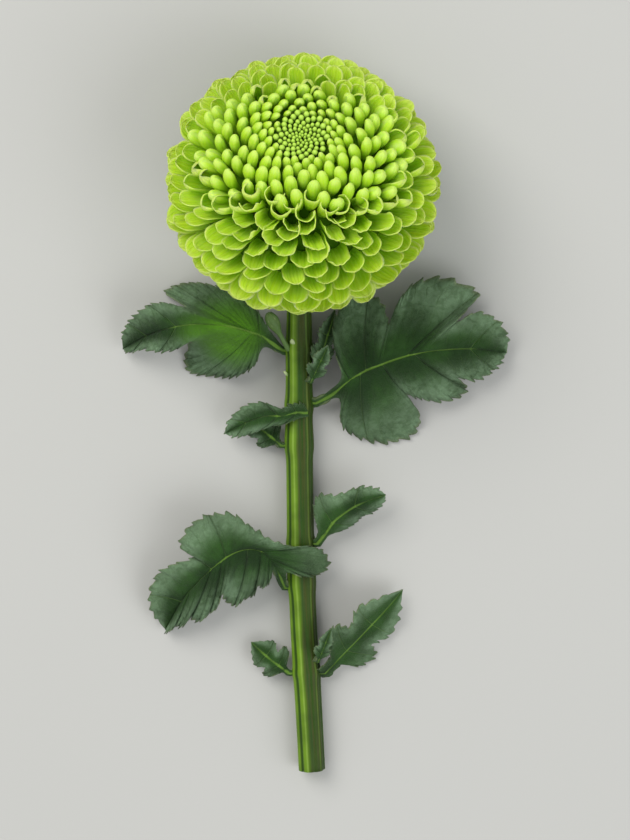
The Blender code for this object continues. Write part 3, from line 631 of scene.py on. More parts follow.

# Receptacle: the green cushion that the florets grow from, seen only as the dark gaps between them. Its dark
# green is partly its own colour and partly painted shade. It follows the bloom's surface at a depth that
# grows away from the apex, and is cut flat towards the stem.
# The next colour is partly the cushion's own green and partly painted shade for the gaps.
RECEPTACLE_GREEN_AND_SHADE = (0.060, 0.155, 0.003, 1.0)
CORE_FLOOR = -0.0125
CORE_DEPTH = 0.0034
CORE_DEEPENING = 0.0056
core_finish, tree, shader = new_finish("receptacle", 0.8, 0.1)
shader.inputs["Base Color"].default_value = RECEPTACLE_GREEN_AND_SHADE
core_angles = np.linspace(0.001, math.pi - 0.001, 40)
core_turns = np.linspace(0.0, 2 * math.pi, 61)
core_depth = CORE_DEPTH + CORE_DEEPENING * smooth(core_angles, math.radians(10), math.radians(50))
core_reach = ball_reach(core_angles) - core_depth
core_along = np.maximum(core_reach * np.cos(core_angles) - RECEPTACLE_DROP, CORE_FLOOR)
core_out = (core_reach * np.sin(core_angles))[:, None, None] * circle(core_turns, ACROSS, UP_SIDE)
core_rings = (BLOOM_CENTRE + core_along[:, None, None] * AXIS + core_out)[::-1]
show("receptacle", tube_mesh("receptacle", core_rings[None], {}), core_finish, "petal")

# Involucre: the cup behind the bloom, soft green tissue turned to a bowl. Two rows of narrow bracts with
# dry, pale edges grow from it and lie against the lowest florets. A row of bracts has its place on the cup,
# its length, its width and how far it is turned, in bracts.
INVOLUCRE_TOP_RADIUS = 0.0088
INVOLUCRE_LENGTH = 0.0058
INVOLUCRE_NARROWING = 0.66
GAP = 0.0003
BRACTS = 13
BRACT_THICKNESS = 0.0003
BRACT_TIP = 0.00008
BRACT_ROWS = ((0.10, 0.0068, 0.0034, 0.00), (0.50, 0.0062, 0.0030, 0.50))
BRACT_GREEN = (0.075, 0.150, 0.022)
BRACT_EDGE = (0.300, 0.330, 0.130)
SKIN_SHADE = (0.010, 0.030, 0.004)
DOWN_GREY = (0.125, 0.205, 0.095)
SKIN_RELIEF = 0.0002


def down_on_skin(name):
    """Shared effect: fine grey down over a green skin. Gives the skin's colour, mottled, and a height."""
    made = bpy.data.node_groups.new(name, "ShaderNodeTree")
    made.interface.new_socket("Colour", in_out="INPUT", socket_type="NodeSocketColor")
    made.interface.new_socket("Down", in_out="INPUT", socket_type="NodeSocketFloat")
    made.interface.new_socket("Colour", in_out="OUTPUT", socket_type="NodeSocketColor")
    made.interface.new_socket("Height", in_out="OUTPUT", socket_type="NodeSocketFloat")
    incoming, outgoing = made.nodes.new("NodeGroupInput"), made.nodes.new("NodeGroupOutput")
    place = add_node(made, "ShaderNodeTexCoord").outputs["Object"]
    hair = between(noise(place, Scale=5200.0, Detail=2.0), 0.36, 0.70)
    patch = between(noise(place, Scale=170.0, Detail=4.0), 0.35, 0.70)
    dark = blend(times(patch, 0.30), incoming.outputs["Colour"], SKIN_SHADE)
    amount = times(times(hair, incoming.outputs["Down"]), 0.75)
    connect(blend(amount, dark, DOWN_GREY), outgoing.inputs["Colour"])
    connect(plus(times(hair, 0.35), patch), outgoing.inputs["Height"])
    return made


down_group = down_on_skin("down_on_skin")


def skin(shader, colour, down):
    """Puts the down over a skin's colour and gives its height. down is a socket or a number."""
    group = add_node(shader.id_data, "ShaderNodeGroup", node_tree=down_group)
    connect(colour, group.inputs["Colour"])
    connect(down, group.inputs["Down"])
    connect(group.outputs["Colour"], shader.inputs["Base Color"])
    return group.outputs["Height"]


def cup_share(part):
    """The cup's radius at a part of its length, as a share of its top radius."""
    return 1.0 - INVOLUCRE_NARROWING * part**1.7


def bract_blades(start, length, width, offset):
    """One ring of bracts: lance-shaped blades that leave the cup and curve up along the lowest florets."""
    turn = (np.arange(BRACTS) + offset) * 2 * math.pi / BRACTS
    way = np.linspace(0.0, 1.0, 9)
    spread = np.linspace(-1.0, 1.0, 5)
    half = 0.5 * width * np.sin(math.pi * (0.18 + 0.82 * way) ** 0.9) ** 0.7 * (1 - 0.6 * way**4)
    half[-1] = BRACT_TIP
    out = INVOLUCRE_TOP_RADIUS * cup_share(start) + length * (0.10 + 0.90 * way) * 0.62 - 0.0012
    rise = CORE_FLOOR - start * INVOLUCRE_LENGTH + length * (0.20 * way + 0.72 * way**2) - 0.0008
    radial = circle(turn, ACROSS, UP_SIDE)
    tangent = np.cross(AXIS, radial)
    middle = BLOOM_CENTRE + rise[None, :, None] * AXIS + out[None, :, None] * radial[:, None]
    sheets = []
    for lift in (0.0, BRACT_THICKNESS):
        bow = (0.25 * half[:, None] * (1 - spread**2))[None, ..., None] - lift
        sheet = middle[:, :, None] + (half[:, None] * spread)[None, ..., None] * tangent[:, None, None]
        sheets.append(sheet + bow * radial[:, None, None])
    across = np.broadcast_to(spread[None, None, :], (BRACTS, len(way), len(spread)))
    return (*sheets, {"across": across})


bract, tree, shader = new_finish("bract", 0.62)
dry_edge = between(maths("ABSOLUTE", attribute(tree, "across")), 0.55, 0.95)
bract_down = skin(shader, blend(dry_edge, BRACT_GREEN, BRACT_EDGE), 0.5)
emboss(shader, bract_down, 0.35, SKIN_RELIEF)

cup_part = np.linspace(0.0, 1.0, 15)
cup_rows = np.concatenate(((0.0, 0.0), cup_part, (1.0,)))
cup_shares = np.concatenate(((0.02, 0.80), cup_share(cup_part), (0.02,)))
cup_turns = np.linspace(0.0, 2 * math.pi, 53)
cup_ripple = 1 + 0.02 * np.cos(BRACTS * cup_turns)[None, :] * np.sin(math.pi * cup_rows)[:, None]
cup_radius = INVOLUCRE_TOP_RADIUS * cup_shares[:, None] * cup_ripple
cup_along = (CORE_FLOOR - GAP - cup_rows * INVOLUCRE_LENGTH)[:, None, None] * AXIS
cup = BLOOM_CENTRE + cup_along + cup_radius[..., None] * circle(cup_turns, ACROSS, UP_SIDE)
cup_mesh = tube_mesh("involucre", cup[None], {"across": np.zeros((1, len(cup_rows), 1))})
show("involucre", cup_mesh, bract, "bract", "involucre")
for number, bract_row in enumerate(BRACT_ROWS, start=1):
    bracts_name = f"bracts_{number}"
    show(bracts_name, blade_mesh(bracts_name, *bract_blades(*bract_row)), bract, "bract")

# Stem: green, with six rounded ribs and sharp grooves, thicker at each leaf's node. It leaves the involucre
# along the bloom's axis, bends down to the table and lies on it to the cut, which shows a pale pith. It
# thickens from THICKENING's place on, over THICKENING's length.
STEM_NECK_RADIUS = 0.0027
STEM_RADIUS = 0.0033
NECK_HANDLE = 0.0105
NECK_SAG = 0.0006
NECK_END = (-0.0009, -0.0290, 0.0050)
STEM_RUN = (
    (-0.0009, -0.0360, 0.0048), (-0.0009, -0.0415, 0.0047), (-0.0009, -0.0440, 0.0047),
    (-0.0009, -0.0465, 0.0047), (-0.0009, -0.0550, 0.0046), (-0.0009, -0.0585, 0.0045),
    (-0.0009, -0.0620, 0.0045), (-0.0009, -0.0690, 0.0044), (-0.0008, -0.0730, 0.0044),
    (-0.0007, -0.0820, 0.0043), (-0.0006, -0.0915, 0.0042), (-0.0005, -0.0945, 0.0041),
    (-0.0004, -0.0980, 0.0041), (-0.0003, -0.1050, 0.0040), (-0.0001, -0.1090, 0.0040),
    (0.0003, -0.1180, 0.0038), (0.0008, -0.1260, 0.0037), (0.0010, -0.1290, 0.0037),
    (0.0012, -0.1320, 0.0037), (0.0018, -0.1430, 0.0035), (0.0024, -0.1550, 0.0033),
)
THICKENING = (-0.010, 0.045)
STEM_NODES = (-0.0440, -0.0585, -0.0690, -0.0945, -0.1050, -0.1290)
NODE_SWELLING = 0.10
NODE_LENGTH = 0.0022
STEM_RIBS = 6
STEM_RIB_DEPTH = 0.07
RIB_TWIST = 1.6
STEM_ROWS_PER_POINT = 7
STEM_SIDES = 60
STEM_CLEARANCE = 0.0001
PETIOLE_SEAT = 0.0005

# The cut's rings from the skin to the middle: their girth and how deep they are sunk.
CUT_SHARE = np.array((0.93, 0.80, 0.62, 0.40, 0.18, 0.02))
CUT_SINK = np.array((-0.00015, 0.0, 0.0, 0.00025, 0.00045, 0.0005))
# The next two colours are the stem's green with painted light on one side and painted shade on the other.
STEM_PAINTED_LIGHT = (0.145, 0.275, 0.015)
STEM_PAINTED_SHADE = (0.026, 0.060, 0.004)
# The next colour is a pale line on each rib's crest: partly its own colour, partly a painted highlight.
RIB_LINE_AND_HIGHLIGHT = (0.260, 0.400, 0.070)
# The next colour is painted shade for the stem's grooves.
GROOVE_PAINTED_SHADE = (0.022, 0.065, 0.004)
# The next colour is brown streaks, which are made stronger on the shaded side as painted shade.
BROWN_STREAKS_AND_SHADE = (0.062, 0.056, 0.014)
CUT_GREEN = (0.200, 0.330, 0.080)
PITH = (0.420, 0.500, 0.240)


def through(points, at):
    """Catmull-Rom curve through points, read at each value of at, which counts the points from 0."""
    points = np.asarray(points, float)
    at = np.asarray(at, float)
    step = np.clip(np.floor(at).astype(int), 0, len(points) - 2)
    part = (at - step)[:, None]
    ends = np.vstack((2 * points[0] - points[1], points, 2 * points[-1] - points[-2]))
    a, b, c, d = (ends[step + k] for k in range(4))
    bend = (2 * a - 5 * b + 4 * c - d) * part**2 + (3 * b - a - 3 * c + d) * part**3
    return 0.5 * (2 * b + (c - a) * part + bend)


def stem_path():
    """The stem's centre line and radius on the plan: a Bezier neck out of the involucre, then the run."""
    start = BLOOM_CENTRE - PLAN_SHIFT + (CORE_FLOOR - INVOLUCRE_LENGTH - 2 * GAP) * AXIS
    end = np.array(NECK_END)
    part = np.linspace(0.0, 1.0, 9)[:, None]
    first, second = start - NECK_HANDLE * AXIS, end + np.array((0.0, NECK_HANDLE, NECK_SAG))
    bend = (1 - part) ** 3 * start + 3 * (1 - part) ** 2 * part * first
    bend = bend + 3 * (1 - part) * part**2 * second + part**3 * end
    points = np.vstack((bend, STEM_RUN))
    grown = np.clip((THICKENING[0] - points[:, 1]) / THICKENING[1], 0.0, 1.0)
    radius = STEM_NECK_RADIUS + (STEM_RADIUS - STEM_NECK_RADIUS) * grown
    for node in STEM_NODES:
        radius = radius * (1 + NODE_SWELLING * np.exp(-(((points[:, 1] - node) / NODE_LENGTH) ** 2)))
    return points, radius


def stem_seat(along, clock):
    """The point on the plan just off the stem's side, at a place along it and an angle round it from +X."""
    points, radius = stem_path()
    order = np.argsort(points[:, 1])
    centre = [np.interp(along, points[order, 1], points[order, axis]) for axis in (0, 2)]
    reach = np.interp(along, points[order, 1], radius[order]) * (1 + STEM_RIB_DEPTH) + GAP + PETIOLE_SEAT
    turn = math.radians(clock)
    return np.array((centre[0] + reach * math.cos(turn), along, centre[1] + reach * math.sin(turn)))


def ribbed_stem():
    """The stem's skin: a ring with cosine ribs carried along the path, closed by a cut with a sunken pith."""
    points, radius = stem_path()
    at = np.linspace(0.0, len(points) - 1.0, (len(points) - 1) * STEM_ROWS_PER_POINT + 1)
    centre, thick = through(points, at), through(radius[:, None], at)[:, 0]
    tangent = unit(np.gradient(centre, axis=0))
    across = unit(np.cross(tangent, np.cross(ACROSS, tangent)))
    other = np.cross(tangent, across)
    turn = np.linspace(0.0, 2 * math.pi, STEM_SIDES + 1)
    length = np.concatenate(([0.0], np.cumsum(np.linalg.norm(np.diff(centre, axis=0), axis=1))))
    ridge = np.abs(np.cos(STEM_RIBS / 2 * (turn[None, :] + RIB_TWIST * length[:, None])))
    fade = smooth(length, 0.0, 0.006)[:, None]
    ring = 1 + STEM_RIB_DEPTH * (2 * ridge**0.7 - 1) * fade
    wheel = circle(turn, across[:, None], other[:, None])
    skin_rows = centre[:, None] + (thick[:, None] * ring)[..., None] * wheel
    spokes = skin_rows[-1] - centre[-1]
    cut_rows = centre[-1] + CUT_SHARE[:, None, None] * spokes - CUT_SINK[:, None, None] * tangent[-1]
    rings = np.concatenate((skin_rows, cut_rows)) + PLAN_SHIFT
    rings[..., 2] = settle(rings[..., 2], STEM_CLEARANCE, 0.0004)
    groove = np.concatenate((1 - ridge, np.repeat(1 - ridge[-1:], len(CUT_SHARE), axis=0)))
    pith = np.concatenate((np.zeros(len(at)), 1.25 - CUT_SHARE))
    along = np.concatenate((length, np.full(len(CUT_SHARE), length[-1])))
    coordinates = {
        "groove": groove[None],
        "pith": pith[None, :, None],
        "along": along[None, :, None],
        "turn": turn[None, None],
    }
    return rings[None], coordinates


# The stem's finish: painted light on one side and painted shade on the other, brown streaks that grow
# stronger in that painted shade, painted shade in the grooves, and a pale line along each rib that is partly
# its own colour and partly a painted highlight, stronger on the lit side. turn tells the painted lit side,
# and pith the cut.
stem_finish, tree, shader = new_finish("stem", 0.45, 0.14)
groove, turn_round, pith = attribute(tree, "groove"), attribute(tree, "turn"), attribute(tree, "pith")
painted_light_side = times(between(turn_round, 1.50, 2.00), between(turn_round, 4.40, 3.90))
streak_place = add_node(tree, "ShaderNodeCombineXYZ")
connect(times(turn_round, 7.0), streak_place.inputs["X"])
connect(times(attribute(tree, "along"), 55.0), streak_place.inputs["Y"])
streaks = between(noise(streak_place.outputs["Vector"], Scale=1.0, Detail=3.0), 0.40, 0.66)
# Painted light on one side of the stem and painted shade on the other, chosen by the angle round it.
body = blend(painted_light_side, STEM_PAINTED_SHADE, STEM_PAINTED_LIGHT)
# Painted shade in the grooves: the green is darker there because shade falls in them.
body = blend(between(groove, 0.30, 0.85), body, GROOVE_PAINTED_SHADE)
painted_shade = maths("SUBTRACT", 1.0, painted_light_side)
# Brown streaks all along the stem, made stronger on the shaded side as painted shade.
streaks_and_shade = times(streaks, plus(times(painted_shade, 0.45), 0.15))
body = blend(streaks_and_shade, body, BROWN_STREAKS_AND_SHADE)
# Pale line on each rib's crest: partly its own colour, partly a painted highlight, stronger on the painted
# lit side.
line = times(between(groove, 0.05, 0.0), plus(times(painted_light_side, 0.45), 0.25))
body = blend(line, body, RIB_LINE_AND_HIGHLIGHT)
cut_face = blend(between(pith, 0.45, 0.75), CUT_GREEN, PITH)
body = blend(between(pith, 0.30, 0.36), body, cut_face)
emboss(shader, skin(shader, body, 0.08), 0.30, SKIN_RELIEF)
show("stem", tube_mesh("stem", *ribbed_stem()), stem_finish, "stem", "stem")

# Shoot scars: pale stubs on the stem's upper side, where side shoots were pinched out, sunk in its skin. A
# scar has its place along the stem, its angle round it, its reach and its thickness.
SCARS = ((-0.0418, 118, 0.0009, 0.0007), (-0.0502, 158, 0.0011, 0.0005), (-0.0512, 40, 0.0009, 0.0005))
SCAR_PALE = (0.430, 0.520, 0.260)
SCAR_FOOT = (0.150, 0.270, 0.040)
scar_finish, tree, shader = new_finish("scar", 0.6)
scar_green = blend(between(attribute(tree, "along"), 0.35, 0.75), SCAR_FOOT, SCAR_PALE)
connect(scar_green, shader.inputs["Base Color"])
scar_rise = np.linspace(0.0, math.pi, 8)
scar_turn = np.linspace(0.0, 2 * math.pi, 11)
scar_rings = []
for place, clock, reach, thick in SCARS:
    foot = stem_seat(place, clock) + PLAN_SHIFT
    out = np.array((math.cos(math.radians(clock)), 0.0, math.sin(math.radians(clock))))
    aside = np.cross(out, (0.0, 1.0, 0.0))
    up = -np.cos(scar_rise)[:, None, None] * reach * (0.8 * out + (0.0, 0.6, 0.0))
    girth = np.maximum(np.sin(scar_rise), 0.02)[:, None, None] * thick
    lumpy = 1 + 0.15 * np.cos(3 * scar_turn + clock)[:, None]
    wheel = circle(scar_turn, aside, np.cross(out, aside))
    scar_rings.append(foot - (GAP + PETIOLE_SEAT) * out + up + girth * lumpy * wheel)
scar_values = {"along": ((1 - np.cos(scar_rise)) / 2)[None, :, None]}
show("shoot_scars", tube_mesh("shoot_scars", np.array(scar_rings), scar_values), scar_finish, "stem")

# Leaves: thin lobed blades with coarse, pointed teeth, sunken veins and a thick channelled stalk that
# widens where it joins the stem. They fall away from the midrib, and swell between their side veins.
LEAF_THICKNESS = 0.0004
MARGIN_THINNING = 0.35
LEAF_CLEARANCE = 0.00045
LEAF_SOFTNESS = 0.0015
PETIOLE_UNDER = 0.0013
PETIOLE_OVER = 0.0003
PETIOLE_WIDTH = 0.0011
PETIOLE_NARROWING = 0.0006
CHANNEL_WIDTH = 0.0004
FOOT_SPREAD = 1.25
FOOT_SINK = 0.0022
LOWEST_TOP = 0.00025
LOWEST_BOTTOM = 0.00005
TEETH_PER_SPAN = 2
TOOTH_START = 0.35
TOOTH_RISE = 0.78
TOOTH_SLANT = 0.55
VEIN_SWEEP = 0.16
ROWS_PER_SPAN = 12
LEAF_SPREAD = np.linspace(0.0, 1.0, 15) ** 1.25
LEAF_DARK = (0.011, 0.040, 0.006)
LEAF_GREEN = (0.030, 0.095, 0.014)
# The next colour is partly grey down and partly painted sheen, laid on towards the outer margin.
LEAF_DOWN_AND_SHEEN = (0.205, 0.330, 0.190)
LEAF_VEIN = (0.110, 0.220, 0.040)
LEAF_MIDRIB = (0.170, 0.330, 0.040)
# The next colour is painted light: a brighter, yellower patch on the upper left leaf, as if light shone
# through it.
LEAF_PAINTED_LIGHT = (0.105, 0.300, 0.008)
LEAF_SHEEN = (0.75, 0.90, 0.75, 1.0)
TOOTH_TIP = (0.330, 0.360, 0.170)
# Centre and reach of that patch of painted light on the upper left leaf.
PAINTED_LIGHT_CENTRE = (-0.0236, 0.0222, 0.014)
PAINTED_LIGHT_REACH = (0.0150, 0.0030)

# Midrib points are (along, left, up) and margin points (along, left), in parts of the leaf's length from
# the stalk's foot to the tip. node and clock seat the stalk on the stem, and heading is its direction on the
# plan. veins gives where on the midrib each margin row starts, fall_left and fall_right the blade's slope and
# curl away from the midrib, tooth and puff how far the teeth and the swellings rise, and side_veins the
# margin points that the left and the right half's veins run to.
LEAVES = (
    {
        "name": "leaf_upper_right",
        "node": -0.0578,
        "clock": 8,
        "heading": 14.7,
        "length": 0.0508,
        "midrib": (
            (0.10, 0.03, 0.15), (0.25, 0.10, 0.22), (0.43, 0.13, 0.27), (0.60, 0.13, 0.27),
            (0.82, 0.08, 0.20), (1.0, 0.0, 0.07),
        ),
        "veins": (
            0.0, 0.138, 0.245, 0.281, 0.309, 0.339, 0.369, 0.399, 0.430, 0.449,
            0.492, 0.532, 0.573, 0.612, 0.664, 0.750, 0.834, 0.917, 1.0,
        ),
        "left": (
            (0.0, 0.022), (0.09, 0.05), (0.16, 0.11), (0.16, 0.24), (0.19, 0.38), (0.28, 0.47),
            (0.39, 0.47), (0.45, 0.41), (0.46, 0.31), (0.53, 0.40), (0.64, 0.47), (0.79, 0.45),
            (0.93, 0.34), (0.86, 0.28), (0.78, 0.23), (0.90, 0.25), (0.99, 0.18), (1.02, 0.08),
            (1.0, 0.0),
        ),
        "right": (
            (0.0, -0.022), (0.10, 0.005), (0.12, -0.03), (0.10, -0.10), (0.11, -0.18), (0.20, -0.26),
            (0.32, -0.30), (0.43, -0.29), (0.49, -0.20), (0.455, -0.07), (0.50, -0.09), (0.58, -0.14),
            (0.69, -0.155), (0.755, -0.12), (0.73, -0.05), (0.82, -0.085), (0.91, -0.06), (0.97, -0.02),
            (1.0, 0.0),
        ),
        "fall_left": (-0.10, -0.45),
        "fall_right": (-0.25, -1.0),
        "tooth": 0.012,
        "puff": 0.0013,
        "side_veins": ((3, 6, 12, 16), (5, 9, 13, 16)),
    },
    {
        "name": "leaf_upper_left",
        "node": -0.0442,
        "clock": 172,
        "heading": 180.0,
        "length": 0.0412,
        "midrib": (
            (0.08, -0.07, 0.24), (0.17, -0.13, 0.35), (0.36, -0.19, 0.45), (0.58, -0.19, 0.42),
            (0.80, -0.12, 0.25), (1.0, 0.0, 0.03),
        ),
        "veins": (
            0.0, 0.124, 0.257, 0.292, 0.306, 0.320, 0.334, 0.348, 0.362, 0.380,
            0.450, 0.640, 0.720, 0.795, 0.867, 0.934, 1.0,
        ),
        "left": (
            (0.0, 0.025), (0.10, -0.03), (0.14, 0.0), (0.16, 0.06), (0.22, 0.12), (0.30, 0.16),
            (0.39, 0.17), (0.50, 0.165), (0.59, 0.14), (0.61, 0.05), (0.57, -0.07), (0.66, -0.03),
            (0.76, -0.01), (0.86, -0.02), (0.93, 0.0), (0.98, 0.01), (1.0, 0.0),
        ),
        "right": (
            (0.0, -0.025), (0.06, -0.11), (0.11, -0.19), (0.16, -0.27), (0.23, -0.34), (0.32, -0.39),
            (0.43, -0.41), (0.55, -0.42), (0.66, -0.40), (0.73, -0.35), (0.60, -0.29), (0.72, -0.32),
            (0.82, -0.30), (0.90, -0.24), (0.96, -0.17), (1.0, -0.09), (1.0, 0.0),
        ),
        "fall_left": (-0.30, -1.4),
        "fall_right": (-0.10, -1.2),
        "tooth": 0.012,
        "puff": 0.0012,
        "side_veins": ((3, 7, 12, 14), (3, 8, 12, 14)),
    },
    {
        "name": "leaf_lower_left",
        "node": -0.1062,
        "clock": 165,
        "heading": 201.0,
        "length": 0.0335,
        "midrib": (
            (0.0, -0.20, 0.28), (0.04, -0.35, 0.38), (0.15, -0.43, 0.43), (0.31, -0.42, 0.43),
            (0.48, -0.36, 0.38), (0.74, -0.22, 0.23), (1.0, 0.0, 0.02),
        ),
        "veins": (
            0.0, 0.079, 0.163, 0.207, 0.233, 0.261, 0.289, 0.316, 0.353, 0.416, 0.476,
            0.539, 0.581, 0.617, 0.652, 0.698, 0.761, 0.821, 0.881, 0.940, 1.0,
        ),
        "left": (
            (0.03, 0.01), (0.035, -0.10), (0.03, -0.18), (0.06, -0.14), (0.10, -0.10), (0.15, -0.09),
            (0.18, -0.12), (0.24, -0.05), (0.32, -0.05), (0.41, -0.02), (0.46, -0.10), (0.45, -0.17),
            (0.53, -0.07), (0.62, -0.03), (0.72, 0.0), (0.76, -0.05), (0.85, -0.01), (0.89, -0.03),
            (0.94, -0.01), (0.98, 0.0), (1.0, 0.0),
        ),
        "right": (
            (-0.03, -0.01), (-0.045, -0.10), (-0.09, -0.12), (-0.16, -0.06), (-0.25, -0.02),
            (-0.38, -0.05), (-0.38, -0.17), (-0.31, -0.25), (-0.18, -0.31), (-0.06, -0.42),
            (0.05, -0.56), (0.16, -0.71), (0.33, -0.76), (0.50, -0.73), (0.62, -0.62), (0.56, -0.50),
            (0.73, -0.50), (0.87, -0.46), (1.00, -0.32), (1.03, -0.16), (1.0, 0.0),
        ),
        "fall_left": (-0.20, -0.5),
        "fall_right": (-0.05, -0.6),
        "tooth": 0.016,
        "puff": 0.0014,
        "side_veins": ((4, 7, 9, 13, 15, 17), (4, 7, 12, 15, 18)),
    },
    {
        "name": "leaf_over_stem",
        "node": -0.0600,
        "clock": 62,
        "heading": 196.0,
        "length": 0.0225,
        "midrib": (
            (0.12, -0.04, 0.43), (0.28, -0.05, 0.45), (0.46, -0.10, 0.44), (0.70, -0.08, 0.34),
            (1.0, 0.0, 0.12),
        ),
        "veins": (0.0, 0.10, 0.20, 0.32, 0.46, 0.62, 0.80, 1.0),
        "left": (
            (0.0, 0.04), (0.12, 0.03), (0.30, 0.05), (0.43, 0.03), (0.56, 0.04), (0.72, 0.05),
            (0.86, 0.05), (1.0, 0.0),
        ),
        "right": (
            (0.0, -0.05), (0.03, -0.11), (0.15, -0.15), (0.28, -0.13), (0.45, -0.25), (0.66, -0.27),
            (0.88, -0.16), (1.0, 0.0),
        ),
        "fall_left": (-0.10, -0.8),
        "fall_right": (-0.10, -0.8),
        "tooth": 0.02,
        "puff": 0.0006,
        "side_veins": ((2, 4, 6), (2, 4, 6)),
    },
    {
        "name": "leaf_right_small",
        "node": -0.0945,
        "clock": 20,
        "heading": 37.0,
        "length": 0.0220,
        "midrib": (
            (0.18, 0.06, 0.35), (0.37, 0.12, 0.45), (0.67, 0.11, 0.50), (1.0, 0.0, 0.42),
        ),
        "veins": (0.0, 0.15, 0.28, 0.42, 0.56, 0.72, 0.86, 1.0),
        "left": (
            (0.0, 0.05), (0.10, 0.12), (0.20, 0.34), (0.36, 0.45), (0.54, 0.34), (0.80, 0.26),
            (0.95, 0.14), (1.0, 0.0),
        ),
        "right": (
            (0.0, -0.05), (0.17, 0.0), (0.34, -0.05), (0.49, -0.07), (0.60, -0.04), (0.76, -0.08),
            (0.92, -0.06), (1.0, 0.0),
        ),
        "fall_left": (-0.15, -0.5),
        "fall_right": (-0.40, -1.0),
        "tooth": 0.02,
        "puff": 0.0006,
        "side_veins": ((3, 5), (3, 5)),
    },
)

# The small leaves share one outline, with a pair of side lobes, a foot that tapers and four places where
# their midrib's height is given. The blades' slopes and curls are given for the left and the right half.
SMALL_OUTLINE = (
    (0.0, 0.0), (0.16, 0.02), (0.24, 0.17), (0.40, 0.22),
    (0.47, 0.12), (0.64, 0.20), (0.84, 0.11), (1.0, 0.0),
)
SMALL_FOOT = 0.06
SMALL_STATIONS = (0.18, 0.48, 0.78, 1.0)
DROOPING = ((-0.2, -0.8), (-0.2, -0.8))
TURNED_UP = ((0.9, -0.8), (-0.6, -0.6))
HALF_FOLDED = ((0.5, -1.0), (-0.2, -0.5))
UPRIGHT = ((0.8, -1.0), (0.1, -0.5))


def small_leaf(name, seat, heading, length, heights, width, falls):
    """A short leaf with one pair of side lobes. heights are its midrib's, in parts of its length."""
    foot = np.linspace(SMALL_FOOT, 0.0, len(SMALL_OUTLINE))
    left = tuple((along, out * width + base) for (along, out), base in zip(SMALL_OUTLINE, foot))
    return {
        "name": name,
        "node": seat[0],
        "clock": seat[1],
        "heading": heading,
        "length": length,
        "midrib": tuple((along, 0.0, up) for along, up in zip(SMALL_STATIONS, heights)),
        "veins": (0.0, 0.14, 0.24, 0.34, 0.46, 0.60, 0.80, 1.0),
        "left": left,
        "right": tuple((along, -out) for along, out in left),
        "fall_left": falls[0],
        "fall_right": falls[1],
        "tooth": 0.02,
        "puff": 0.0004,
        "side_veins": ((3, 5), (3, 5)),
    }


SMALL_LEAVES = (
    small_leaf("leaf_left_small", (-0.0690, 168), 141, 0.0125, (0.36, 0.38, 0.30, 0.14), 1.3, DROOPING),
    small_leaf("leaf_bottom_left", (-0.1290, 170), 142, 0.0125, (0.40, 0.44, 0.34, 0.14), 1.5, DROOPING),
    small_leaf("leaf_bottom_right", (-0.1290, 10), 47, 0.0300, (0.15, 0.20, 0.20, 0.12), 0.9, TURNED_UP),
    small_leaf("axil_leaf_1", (-0.0500, 12), 73, 0.0170, (0.33, 0.35, 0.32, 0.26), 0.6, HALF_FOLDED),
    small_leaf("axil_leaf_2", (-0.0520, 48), 66, 0.0110, (0.85, 1.05, 1.20, 1.28), 0.9, UPRIGHT),
    small_leaf("axil_leaf_3", (-0.1255, 45), 70, 0.0100, (0.80, 0.95, 1.05, 1.05), 0.8, UPRIGHT),
)


